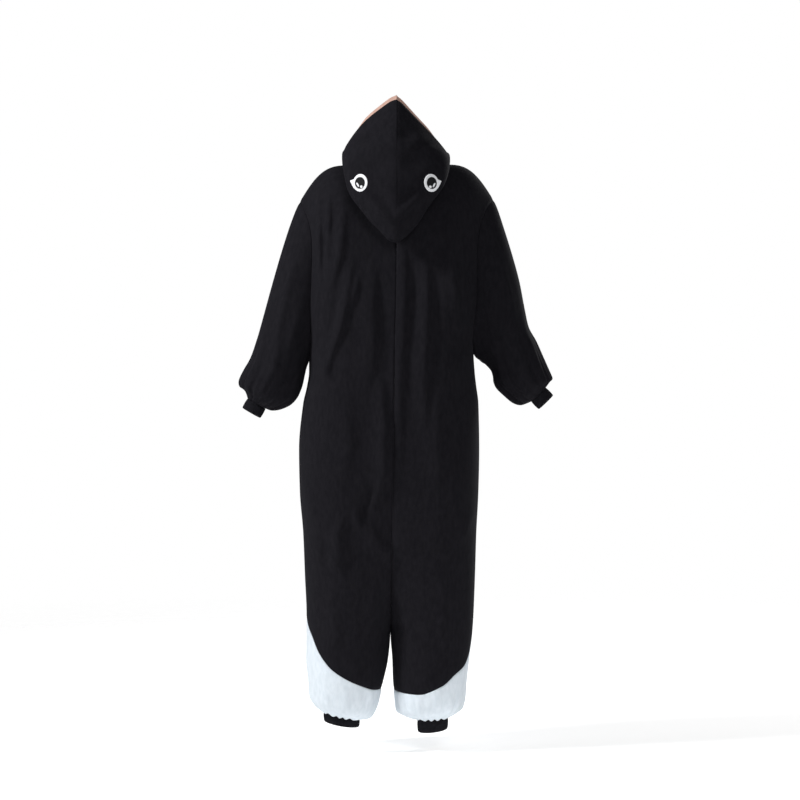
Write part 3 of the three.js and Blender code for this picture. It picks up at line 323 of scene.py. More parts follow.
@dataclass
class Cut:
    """The cut of the garment: its sections, armholes, neck, and black and white edges."""

    sections: tuple[Section, ...] = (
        Section(82, 173, -129, 84, -52, 50, 46, 0, 2),
        Section(90, 184, -146, 58, -24, 68, 62, 0, 2),
        Section(103, 196, -162, 48, -2, 82, 76, 0, 2.1),
        Section(125, 205, -167, 39, 1, 90, 85, 0, 2.2),
        Section(165, 208, -172, 28, 5, 94, 90, 0, 2.2),
        Section(220, 213, -178, 16, 7, 97, 94, 0, 2.2),
        Section(276, 212, -185, 11, 11, 102, 98, 0, 2.2),
        Section(320, 212, -188, 10, 10, 108, 104, 0.5, 2.2),
        Section(420, 216, -192, 9, 9, 122, 120, 0.84, 2.2),
        Section(520, 220, -195, 7, 7, 136, 134, 0.94, 2.2),
        Section(620, 228, -200, 5, 5, 146, 144, 0.98, 2.2),
        Section(720, 230, -202, 3, 3, 150, 150, 1, 2.2),
        Section(830, 220, -200, 1, 1, 148, 150, 1, 2.2),
        Section(870, 211, -195, 0, 0, 147, 148, 1, 2.2),
        Section(905, 206, -191, 0, 0, 146, 146, 1, 2.2),
        Section(960, 206, -188, 0, 0, 144, 142, 1, 2.2),
        Section(1080, 214, -206, -3, -3, 141, 136, 1, 2.2),
        Section(1180, 214, -212, -4, -4, 136, 128, 1, 2.2),
    )
    shoulders: dict[Side, Shoulder] = field(default_factory=lambda: {
        Side.LEFT: Shoulder(74, 229, 1312, 930),
        Side.RIGHT: Shoulder(-80, -236, 1318, 946),
    })
    chest: float = 1180
    leg_top: float = 420
    crotch: float = 276
    hem: float = 82
    lobe_share: float = 0.48
    armhole_depth: float = 80
    armhole_power: float = 2.3
    neck_back: float = 72
    neck_front: float = 76
    neck_back_z: float = 1398
    neck_side_z: float = 1406
    neck_front_z: float = 1318
    middle: float = -4
    shoulder_arch: float = 39
    arch_power: float = 1.35
    neck_share: float = 0.3
    neck_curve: float = 1.5
    yoke_power: float = 1.35
    yoke_power_gain: float = 0.8
    yoke_middle: float = 0.5
    yoke_run: float = 2.4
    belly_tip: float = 334
    tail_shares: tuple[float, ...] = (0, 0.2, 0.4, 0.6, 0.72, 0.84, 0.92, 1)
    tails: dict[Side, tuple[float, ...]] = field(default_factory=lambda: {
        Side.LEFT: (147, 150, 167, 199, 236, 287, 308, 322),
        Side.RIGHT: (146, 145, 143, 163, 190, 209, 232, 322),
    })
    belly_heights: tuple[float, ...] = (330, 372, 470, 620, 800, 1000, 1180, 1320)
    belly_shares: tuple[float, ...] = (0.985, 0.9, 0.8, 0.7, 0.63, 0.56, 0.47, 0.3)

    def column(self, name: str) -> list[float]:
        """One column of the section table."""
        return [getattr(section, name) for section in self.sections]

    def read(self, name: str, z: float) -> float:
        """Read a column of the section table at a height.

        Args:
            name: The column.
            z: Height above the soles.

        Returns:
            Its value there.
        """
        return float(smooth_table(self.column("z"), self.column(name), np.array(z)))

    def armhole(self, side: Side, z: float) -> float:
        """Half depth of the armhole at a height.

        Args:
            side: The side.
            z: Height above the soles.

        Returns:
            The half depth, 0 below the underarm.
        """
        underarm = self.shoulders[side].underarm
        share = min((z - underarm) / (self.chest - underarm), 1)
        if share <= 0:
            return 0.0
        return self.armhole_depth * (1 - (1 - share) ** self.armhole_power) ** (1 / self.armhole_power)

    def half_section(self, side: Side, face: Face, z: float, steps: int = 60) -> Array:
        """Half a section, from the centre line or inseam to the side or armhole.

        Args:
            side: The side.
            face: The face.
            z: Height above the soles.
            steps: Points along each half of the curve.

        Returns:
            The points.
        """
        outer = self.read("left" if side is Side.LEFT else "right", z)
        inner = self.read("inner_left" if side is Side.LEFT else "inner_right", z)
        depth = face.value * self.read("back" if face is Face.BACK else "front", z)
        power = self.read("power", z)
        drop = 1 - self.read("cleft", z) ** power
        lobe = inner + (outer - inner) * self.lobe_share
        turn = np.linspace(0, math.pi / 2, steps + 1)
        s = np.cos(turn)
        y = depth * np.maximum(1 - drop * s**power, 0) ** (1 / power)
        inside = np.stack([lobe + (inner - lobe) * s, y], 1)
        s = np.sin(turn[1:])
        y = depth * np.maximum(1 - s**power, 0) ** (1 / power)
        outside = np.stack([lobe + (outer - lobe) * s, y], 1)
        flat = np.vstack([inside, outside])
        limit = self.armhole(side, z)
        if limit > 0:
            beyond = np.flatnonzero((np.arange(len(flat)) > steps) & (np.abs(flat[:, 1]) < limit))
            cut = int(beyond[0])
            a, b = flat[cut - 1], flat[cut]
            share = (abs(a[1]) - limit) / (abs(a[1]) - abs(b[1]))
            flat = np.vstack([flat[:cut], a + (b - a) * share])
        return np.column_stack([flat, np.full(len(flat), z)])

    def neck_point(self, side: Side, face: Face, angle: float) -> Array:
        """A point of the neckline.

        Args:
            side: The side.
            face: The face.
            angle: From pi/2 at the centre of a face to 0 at the side.

        Returns:
            The point.
        """
        rise = math.sin(angle)
        x = self.middle + (self.shoulders[side].neck_x - self.middle) * math.cos(angle)
        depth = self.neck_back if face is Face.BACK else self.neck_front
        low = self.neck_back_z if face is Face.BACK else self.neck_front_z
        z = self.neck_side_z + (low - self.neck_side_z) * abs(rise) ** self.neck_curve
        return np.array([x, rise * depth, z])

    def top_edge(self, side: Side, face: Face, share: float) -> Array:
        """A point of the neckline and shoulder seam.

        Args:
            side: The side.
            face: The face.
            share: From 0 at the centre to 1 at the shoulder point.

        Returns:
            The point.
        """
        if share <= self.neck_share:
            return self.neck_point(side, face, face.value * math.pi / 2 * (1 - share / self.neck_share))
        s = (share - self.neck_share) / (1 - self.neck_share)
        shoulder = self.shoulders[side]
        arch = self.shoulder_arch * math.sin(math.pi * s**self.arch_power)
        x = shoulder.neck_x + (shoulder.point_x - shoulder.neck_x) * s
        return np.array([x, 0.0, self.neck_side_z + (shoulder.point_z - self.neck_side_z) * s + arch])

    def yoke_point(self, side: Side, face: Face, share: float, start: Array, step: float) -> Array:
        """A point above the chest, where the cloth rolls forward over the shoulder.

        Args:
            side: The side.
            face: The face.
            share: Place across the half.
            start: The chest point below it.
            step: From 0 at the chest to 1 at the top edge.

        Returns:
            The point.
        """
        top = self.top_edge(side, face, share)
        power = self.yoke_power + self.yoke_power_gain * min(share / self.yoke_middle, 1)
        turn = step * math.pi / 2
        up, over = math.sin(turn) ** (2 / power), max(math.cos(turn), 0) ** (2 / power)
        x = start[0] + (top[0] - start[0]) * math.sin(turn) ** self.yoke_run
        return np.array([x, top[1] + (start[1] - top[1]) * over, start[2] + (top[2] - start[2]) * up])

    def tail(self, side: Side, share: Array) -> Array:
        """Height of the black back's lower edge across a half."""
        return smooth_table(self.tail_shares, self.tails[side], share)

    def belly(self, z: Array) -> Array:
        """Share of the front that the white belly takes at a height."""
        edge = smooth_table(self.belly_heights, self.belly_shares, z)
        return np.where(np.asarray(z) < self.belly_tip, 1.0, edge)


@dataclass
class Drape:
    """The folds of the body, listed for each face."""

    creases: tuple[Crease, ...] = (
        Crease(Face.BACK, ((178, 1322), (178, 1228), (174, 1140)), 8, 4.6, 0.3),
        Crease(Face.BACK, ((169, 1240), (169, 1130), (158, 1100)), 5, -3.4, 0.0),
        Crease(Face.BACK, ((152, 1318), (154, 1270), (156, 1220)), 7, 4.4, 0.4),
        Crease(Face.BACK, ((117, 1288), (128, 1172), (152, 1094)), 12, 5.0, 0.45),
        Crease(Face.BACK, ((141, 1270), (144, 1200), (150, 1140)), 6, -3.0, 0.0),
        Crease(Face.BACK, ((101, 1146), (124, 1015), (148, 950), (172, 868)), 11, 7.5, 0.35),
        Crease(Face.BACK, ((122, 1120), (146, 1010), (166, 930)), 8, -4.0, 0.0),
        Crease(Face.BACK, ((84, 1128), (92, 1090), (104, 1046)), 8, 4.6, 0.3),
        Crease(Face.BACK, ((50, 1134), (52, 1040), (50, 960), (60, 874)), 20, 6.0, 0.5),
        Crease(Face.BACK, ((34, 1120), (34, 1050), (30, 960)), 8, -2.6, 0.0),
        Crease(Face.BACK, ((-22, 1186), (-25, 1120), (-20, 1000), (-14, 860), (-12, 700)), 12, 5.6, 0.5),
        Crease(Face.BACK, ((-44, 1150), (-46, 1060), (-42, 980)), 8, -2.6, 0.0),
        Crease(Face.BACK, ((-76, 1156), (-78, 1050), (-75, 980), (-70, 900), (-72, 780)), 12, 7.6, 0.55),
        Crease(Face.BACK, ((-98, 1150), (-100, 1040), (-98, 930)), 11, -3.0, 0.2),
        Crease(Face.BACK, ((-131, 1272), (-134, 1180), (-145, 1090), (-152, 1000)), 9, 6.0, 0.45),
        Crease(Face.BACK, ((-160, 1290), (-164, 1200), (-172, 1100)), 10, -4.0, -0.2),
        Crease(Face.BACK, ((212, 1280), (198, 1240), (178, 1222)), 8, 4.0, 0.2),
        Crease(Face.BACK, ((214, 1262), (198, 1222), (184, 1206)), 6, -2.5, 0.0),
        Crease(Face.BACK, ((-214, 1270), (-196, 1236), (-186, 1180)), 8, 3.5, 0.0),
        Crease(Face.BACK, ((196, 960), (168, 930), (150, 880)), 11, 4.5, 0.3),
        Crease(Face.BACK, ((-176, 970), (-150, 930), (-136, 870)), 11, 4.0, -0.3),
        Crease(Face.BACK, ((30, 882), (22, 780), (22, 670), (40, 614), (56, 586)), 12, 8.5, 0.45),
        Crease(Face.BACK, ((52, 640), (66, 600), (78, 572), (74, 545)), 9, -8.5, -0.3),
        Crease(Face.BACK, ((88, 588), (84, 560), (66, 530)), 9, 5.0, 0.2),
        Crease(Face.BACK, ((60, 545), (36, 500), (20, 486), (2, 492)), 14, 7.0, 0.3),
        Crease(Face.BACK, ((-4, 540), (-26, 500), (-60, 486)), 14, 3.5, 0.2),
        Crease(Face.BACK, ((214, 648), (196, 580), (176, 520), (172, 462)), 13, 5.5, 0.3),
        Crease(Face.BACK, ((190, 560), (166, 500), (160, 440)), 10, -4.0, 0.2),
        Crease(Face.BACK, ((118, 566), (132, 530), (130, 466)), 10, 6.8, 0.3),
        Crease(Face.BACK, ((150, 480), (138, 455), (124, 440)), 9, 4.0, 0.0),
        Crease(Face.BACK, ((112, 520), (104, 470), (108, 420)), 9, -3.6, 0.1),
        Crease(Face.BACK, ((-188, 582), (-172, 540), (-158, 500)), 10, 5.0, 0.3),
        Crease(Face.BACK, ((-100, 860), (-96, 740), (-104, 640)), 16, 4.0, 0.2),
        Crease(Face.BACK, ((-148, 700), (-140, 600), (-146, 520)), 14, 3.6, -0.2),
        Crease(Face.BACK, ((110, 820), (104, 740), (116, 660)), 15, 3.8, 0.2),
        Crease(Face.BACK, ((20, 420), (48, 350), (60, 290)), 12, 4.0, 0.3),
        Crease(Face.BACK, ((6, 400), (-18, 340), (-34, 280)), 12, 3.6, -0.3),
        Crease(Face.BACK, ((150, 380), (140, 300), (146, 230)), 14, 3.6, 0.2),
        Crease(Face.BACK, ((-120, 420), (-112, 330), (-124, 240)), 14, 3.4, -0.2),
        Crease(Face.BACK, ((-60, 190), (-76, 182), (-92, 176)), 8, 3.4, 0.2),
        Crease(Face.BACK, ((190, 200), (160, 170), (120, 160)), 9, 3.0, 0.2),
        Crease(Face.FRONT, ((128, 1230), (112, 1100), (92, 960)), 14, 6.5, 0.3),
        Crease(Face.FRONT, ((-120, 1220), (-104, 1090), (-98, 930)), 14, 6.0, -0.3),
        Crease(Face.FRONT, ((168, 1240), (160, 1120), (172, 1000)), 11, -4.5, 0.2),
        Crease(Face.FRONT, ((-166, 1230), (-158, 1120), (-168, 1010)), 11, -4.0, -0.2),
        Crease(Face.FRONT, ((60, 860), (72, 720), (84, 560)), 16, 6.0, 0.2),
        Crease(Face.FRONT, ((-66, 820), (-70, 680), (-60, 520)), 16, 5.5, -0.2),
        Crease(Face.FRONT, ((140, 760), (150, 640), (140, 500)), 14, 4.5, 0.2),
        Crease(Face.FRONT, ((-140, 740), (-132, 620), (-146, 500)), 14, 4.5, -0.2),
        Crease(Face.FRONT, ((14, 420), (50, 350), (70, 280)), 12, 4.5, 0.3),
        Crease(Face.FRONT, ((2, 410), (-30, 340), (-46, 270)), 12, 4.2, -0.3),
        Crease(Face.FRONT, ((110, 330), (132, 260), (126, 190)), 12, 4.0, 0.1),
        Crease(Face.FRONT, ((-90, 330), (-110, 250), (-100, 180)), 12, 4.0, 0.1),
        Crease(Face.FRONT, ((190, 950), (164, 930), (140, 870)), 11, 4.5, 0.3),
        Crease(Face.FRONT, ((-176, 966), (-150, 926), (-130, 870)), 11, 4.5, -0.3),
    )
    ripple: float = 0.9
    fine_share: float = 0.45

    def lift(self, face: Face, points: Array) -> Array:
        """Fold height at points of a face.

        Args:
            face: The face.
            points: Points in millimetres.

        Returns:
            The lift for each point.
        """
        x, z = points[..., 0], points[..., 2]
        total = sum(c.lift(x, z) for c in self.creases if c.face is face)
        # Two slow waves whose lengths, in millimetres, share no measure, so that no cloth lies flat.
        soft = np.sin(x / 31 + 1.3 * np.sin(z / 190)) * np.sin(z / 143 + x / 120 + 0.8)
        fine = np.sin(x / 17 + z / 260 + 2.0 * np.sin(z / 230)) * np.sin(z / 88 + 1.1)
        return total + self.ripple * (soft + self.fine_share * fine)


def grid_normals(grid: Array, closed: bool = False) -> Array:
    """Unit normals of a grid of points.

    Args:
        grid: Rows by columns of points.
        closed: Whether the columns run round.

    Returns:
        Normals of the same shape.
    """
    if closed:
        across = np.roll(grid, -1, axis=1) - np.roll(grid, 1, axis=1)
    else:
        across = np.gradient(grid, axis=1)
    return unit(np.cross(across, np.gradient(grid, axis=0)))


def edge_distances(grid: Array, edge: Edge) -> Array:
    """Distance of each grid point from one edge, along the cloth.

    Args:
        grid: Rows by columns of points.
        edge: The edge.

    Returns:
        Distances, rows by columns.
    """
    axis = 0 if edge in (Edge.FIRST_ROW, Edge.LAST_ROW) else 1
    steps = np.linalg.norm(np.diff(grid, axis=axis), axis=-1)
    if edge in (Edge.FIRST_ROW, Edge.FIRST_COLUMN):
        total = np.cumsum(steps, axis=axis)
        return np.concatenate([np.zeros_like(np.take(total, [0], axis=axis)), total], axis=axis)
    total = np.flip(np.cumsum(np.flip(steps, axis=axis), axis=axis), axis=axis)
    return np.concatenate([total, np.zeros_like(np.take(total, [0], axis=axis))], axis=axis)


def rolled_edges(
    grid: Array, normals: Array, edges: Sequence[Edge], depth: float, width: float
) -> Array:
    """Turn a panel's sewn edges inward, so that two panels meet in a soft groove.

    Args:
        grid: The outer points.
        normals: Their outward normals.
        edges: The sewn edges.
        depth: How far the cloth dips at the seam.
        width: How far from the seam the dip reaches.

    Returns:
        The moved points.
    """
    dip = sum((bell(edge_distances(grid, edge), width) for edge in edges), np.zeros(grid.shape[:2]))
    return grid - normals * (np.minimum(dip, 1) * depth)[..., None]


def inset(grid: Array, edges: Sequence[Edge], distance: float = SEAM_HALF) -> Array:
    """Pull edges inward along the cloth, so that pieces stay parted at a seam.

    Args:
        grid: The points.
        edges: The edges to move.
        distance: How far, in millimetres.

    Returns:
        The moved points.
    """
    moved = grid.copy()
    pairs = {
        Edge.FIRST_ROW: (np.s_[0], np.s_[1]),
        Edge.LAST_ROW: (np.s_[-1], np.s_[-2]),
        Edge.FIRST_COLUMN: (np.s_[:, 0], np.s_[:, 1]),
        Edge.LAST_COLUMN: (np.s_[:, -1], np.s_[:, -2]),
    }
    for edge in edges:
        here, there = pairs[edge]
        moved[here] = moved[here] + unit(grid[there] - grid[here]) * distance
    return moved


def wall_faces(rows: int, columns: int, closed: bool) -> list[tuple[int, ...]]:
    """Faces of a closed wall made of an outer grid and an inner grid.

    Args:
        rows: Rows of each grid.
        columns: Columns of each grid.
        closed: Whether the columns run round.

    Returns:
        Quads, outer ones first.
    """
    count = rows * columns
    across = columns if closed else columns - 1
    faces = []

    def at(i: int, j: int) -> int:
        """Index of a grid point."""
        return i * columns + j % columns

    for i in range(rows - 1):
        for j in range(across):
            a, b, c, d = at(i, j), at(i, j + 1), at(i + 1, j + 1), at(i + 1, j)
            faces.append((a, b, c, d))
            faces.append((a + count, d + count, c + count, b + count))
        if not closed:
            a, d = at(i, 0), at(i + 1, 0)
            faces.append((a, d, d + count, a + count))
            a, d = at(i, columns - 1), at(i + 1, columns - 1)
            faces.append((a, a + count, d + count, d))
    top = rows - 1
    for j in range(across):
        faces.append((at(0, j), at(0, j) + count, at(0, j + 1) + count, at(0, j + 1)))
        faces.append((at(top, j), at(top, j + 1), at(top, j + 1) + count, at(top, j) + count))
    return faces


def mesh_object(name: str, vertices: Array, faces: Sequence[Sequence[int]]) -> Piece:
    """Make a smooth object from points in metres, with its faces turned out.

    Args:
        name: The object's name.
        vertices: The points.
        faces: The faces.

    Returns:
        The new object, linked to the scene.
    """
    mesh = bpy.data.meshes.new(name)
    corners = vertices[np.array([face[:3] for face in faces])]
    volume = np.einsum("ij,ij->i", corners[:, 0], np.cross(corners[:, 1], corners[:, 2])).sum()
    quads = all(len(face) == 4 for face in faces)
    if quads:
        array = np.array(faces)
        other = vertices[array[:, [0, 2, 3]]]
        volume += np.einsum("ij,ij->i", other[:, 0], np.cross(other[:, 1], other[:, 2])).sum()
    outward = faces if volume > 0 else [tuple(reversed(face)) for face in faces]
    mesh.from_pydata([tuple(v) for v in vertices], [], [tuple(int(i) for i in face) for face in outward])
    mesh.polygons.foreach_set("use_smooth", [True] * len(mesh.polygons))
    mesh.update()
    piece = bpy.data.objects.new(name, mesh)
    bpy.context.scene.collection.objects.link(piece)
    return piece


def cloth_wall(
    name: str, outer: Array, normals: Array, thickness: float = WALL, closed: bool = False
) -> Piece:
    """Make a closed cloth wall from its outer points.

    Args:
        name: The piece's name.
        outer: Rows by columns of outer points, in millimetres above the soles.
        normals: Outward unit normals.
        thickness: The cloth's thickness.
        closed: Whether the columns run round.

    Returns:
        The piece.
    """
    rows, columns = outer.shape[:2]
    inner = outer - normals * thickness
    points = metres(np.vstack([outer.reshape(-1, 3), inner.reshape(-1, 3)]))
    return mesh_object(name, points, wall_faces(rows, columns, closed))


@dataclass(frozen=True)
class Finish:
    """A surface finish, made once and shared by its pieces.

    Attributes:
        label: The material's name.
        slot: The record's slot that it stands for; not used.
    """

    label: str
    slot: str

    def make(self) -> bpy.types.Material:
        """Return the finish's material, made on first use."""
        known = bpy.data.materials.get(self.label)
        if known:
            return known
        material = bpy.data.materials.new(self.label)
        material.use_nodes = True
        tree = material.node_tree
        tree.nodes.clear()
        shader = tree.nodes.new("ShaderNodeBsdfPrincipled")
        output = tree.nodes.new("ShaderNodeOutputMaterial")
        tree.links.new(shader.outputs["BSDF"], output.inputs["Surface"])
        self.paint(tree, shader)
        return material

    def paint(self, tree: Tree, shader: bpy.types.Node) -> None:
        """Fill in the shader; each kind of finish does this its own way."""
        raise NotImplementedError

    def noise(
        self, tree: Tree, scale: float, detail: float, stretch: Triple = (1, 1, 1)
    ) -> Socket:
        """Noise in the object's own metres.

        Args:
            tree: The node tree.
            scale: Cells to the metre.
            detail: Octaves.
            stretch: Scale on each axis.

        Returns:
            The noise's value.
        """
        place = tree.nodes.new("ShaderNodeTexCoord")
        mapping = tree.nodes.new("ShaderNodeMapping")
        mapping.inputs["Scale"].default_value = stretch
        texture = tree.nodes.new("ShaderNodeTexNoise")
        texture.inputs["Scale"].default_value = scale
        texture.inputs["Detail"].default_value = detail
        tree.links.new(place.outputs["Object"], mapping.inputs["Vector"])
        tree.links.new(mapping.outputs["Vector"], texture.inputs["Vector"])
        return texture.outputs["Fac"]

    def ramp(
        self, tree: Tree, value: Socket, stops: Sequence[tuple[float, Triple]]
    ) -> Socket:
        """Colours along a value.

        Args:
            tree: The node tree.
            value: What drives the ramp.
            stops: Places with linear colours.

        Returns:
            The colour.
        """
        node = tree.nodes.new("ShaderNodeValToRGB")
        elements = node.color_ramp.elements
        while len(elements) < len(stops):
            elements.new(0.5)
        for element, (place, colour) in zip(elements, stops):
            element.position = place
            element.color = (*colour, 1)
        tree.links.new(value, node.inputs["Fac"])
        return node.outputs["Color"]

    def bump(
        self,
        tree: Tree,
        height: Socket,
        distance: float,
        strength: float,
        below: Optional[Socket] = None,
    ) -> Socket:
        """Bump from a height.

        Args:
            tree: The node tree.
            height: The height.
            distance: Its depth in metres.
            strength: How strong it shows.
            below: A coarser bump that it lies on.

        Returns:
            The normal.
        """
        node = tree.nodes.new("ShaderNodeBump")
        node.inputs["Distance"].default_value = distance
        node.inputs["Strength"].default_value = strength
        tree.links.new(height, node.inputs["Height"])
        if below is not None:
            tree.links.new(below, node.inputs["Normal"])
        return node.outputs["Normal"]


@dataclass(frozen=True)
class Fleece(Finish):
    """Brushed fleece: a soft nap with a faint mottle and a pale sheen at grazing angles."""

    dark: Triple
    light: Triple
    sheen: float
    sheen_tint: Triple
    nap: float = 0.0006

    def paint(self, tree: Tree, shader: bpy.types.Node) -> None:
        """Fill in the fleece's colour, nap and sheen."""
        mottle = self.noise(tree, 120, 7, (1, 1, 0.4))
        colour = self.ramp(tree, mottle, ((0.34, self.dark), (0.66, self.light)))
        tree.links.new(colour, shader.inputs["Base Color"])
        coarse = self.bump(tree, self.noise(tree, 170, 3), self.nap * 1.6, 0.35)
        fine = self.bump(tree, self.noise(tree, 900, 2), self.nap, 0.5, coarse)
        tree.links.new(fine, shader.inputs["Normal"])
        settle(shader, {
            "Roughness": 0.95,
            "Specular IOR Level": 0.06,
            "Sheen Weight": self.sheen,
            "Sheen Roughness": 0.55,
            "Sheen Tint": (*self.sheen_tint, 1),
        })


@dataclass(frozen=True)
class RibKnit(Finish):
    """Rib knit: fine knit stitches over ribs that the mesh already has."""

    dark: Triple
    light: Triple

    def paint(self, tree: Tree, shader: bpy.types.Node) -> None:
        """Fill in the knit's colour and stitches."""
        colour = self.ramp(tree, self.noise(tree, 120, 4), ((0.3, self.dark), (0.7, self.light)))
        tree.links.new(colour, shader.inputs["Base Color"])
        stitches = self.noise(tree, 420, 2, (1, 1, 2.6))
        tree.links.new(self.bump(tree, stitches, 0.0005, 0.6), shader.inputs["Normal"])
        settle(shader, {
            "Roughness": 0.92,
            "Specular IOR Level": 0.08,
            "Sheen Weight": 0.02,
            "Sheen Roughness": 0.5,
        })


@dataclass(frozen=True)
class Felt(Finish):
    """Smooth felt with a faint stitched grain, for the appliques."""

    dark: Triple
    light: Triple

    def paint(self, tree: Tree, shader: bpy.types.Node) -> None:
        """Fill in the felt's colour and grain."""
        colour = self.ramp(tree, self.noise(tree, 240, 3), ((0.3, self.dark), (0.7, self.light)))
        tree.links.new(colour, shader.inputs["Base Color"])
        grain = self.noise(tree, 1300, 2, (1, 1, 0.4))
        tree.links.new(self.bump(tree, grain, 0.0003, 0.5), shader.inputs["Normal"])
        settle(shader, {"Roughness": 0.8, "Specular IOR Level": 0.25})


@dataclass(frozen=True)
class Plastic(Finish):
    """Moulded plastic with faint clouding, for the buttons."""

    dark: Triple
    light: Triple

    def paint(self, tree: Tree, shader: bpy.types.Node) -> None:
        """Fill in the plastic's colour and gloss."""
        colour = self.ramp(tree, self.noise(tree, 160, 4), ((0.3, self.dark), (0.7, self.light)))
        tree.links.new(colour, shader.inputs["Base Color"])
        tree.links.new(self.bump(tree, self.noise(tree, 700, 2), 0.00008, 0.4), shader.inputs["Normal"])
        settle(shader, {"Roughness": 0.3, "Coat Weight": 0.25})


BLACK_FLEECE = Fleece(
    label="black_nap",
    slot="black_fleece",
    dark=(0.0076, 0.0072, 0.0094),
    light=(0.0104, 0.0098, 0.0124),
    sheen=0.009,
    sheen_tint=(0.8, 0.82, 1.0),
)
WHITE_FLEECE = Fleece(
    label="white_nap",
    slot="white_fleece",
    dark=(0.645, 0.71, 0.765),
    light=(0.715, 0.775, 0.83),
    sheen=0.10,
    sheen_tint=(1.0, 1.0, 1.0),
)
SALMON_FLEECE = Fleece(
    label="salmon_nap",
    slot="salmon_fleece",
    dark=(0.48, 0.30, 0.245),
    light=(0.56, 0.365, 0.30),
    sheen=0.10,
    sheen_tint=(1.0, 0.95, 0.9),
)
BLACK_RIB = RibKnit("black_knit", "black_rib", (0.0062, 0.006, 0.0078), (0.0115, 0.011, 0.0145))
EYE_WHITE = Felt("white_felt", "eye_white", (0.84, 0.85, 0.88), (0.92, 0.93, 0.96))
EYE_BLACK = Felt("black_felt", "black_fleece", (0.0045, 0.0045, 0.0055), (0.007, 0.007, 0.0085))
BUTTON_PLASTIC = Plastic("button_gloss", "button_plastic", (0.66, 0.70, 0.78), (0.74, 0.78, 0.86))
WHITE_THREAD = Felt("white_thread", "white_fleece", (0.62, 0.67, 0.75), (0.70, 0.75, 0.83))


def settle(shader: bpy.types.Node, values: dict[str, float | tuple[float, ...]]) -> None:
    """Set a shader's plain values.

    Args:
        shader: The shader.
        values: Value of each input, by the input's name.
    """
    for name, value in values.items():
        shader.inputs[name].default_value = value


def dress(piece: Piece, finish: Finish, *nodes: str) -> Piece:
    """Give a piece its finish, its body and the nodes that it stands for.

    Args:
        piece: The piece.
        finish: Its finish.
        *nodes: Nodes of the frame that it replaces.

    Returns:
        The piece.
    """
    piece.data.materials.clear()
    piece.data.materials.append(finish.make())
    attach(piece, BODY_NAME)
    if nodes:
        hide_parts(*nodes)
    log.info("%s: %d faces", piece.name, len(piece.data.polygons))
    return piece


def panel(
    name: str,
    node: str,
    finish: Finish,
    grid: Array,
    normals: Array,
    sewn: Sequence[Edge],
    roll: Pair,
    clear: Sequence[Edge] = (),
) -> Piece:
    """Make a cloth panel whose sewn edges turn in and keep clear of their neighbours.

    Args:
        name: The piece's name.
        node: The frame's node that it stands for.
        finish: Its finish.
        grid: Its outer points.
        normals: Their outward normals.
        sewn: The edges that turn in at a seam.
        roll: How deep and how wide they turn in.
        clear: Further edges that only keep clear.

    Returns:
        The piece.
    """
    outer = inset(rolled_edges(grid, normals, sewn, *roll), (*sewn, *clear))
    return dress(cloth_wall(name, outer, normals), finish, node)


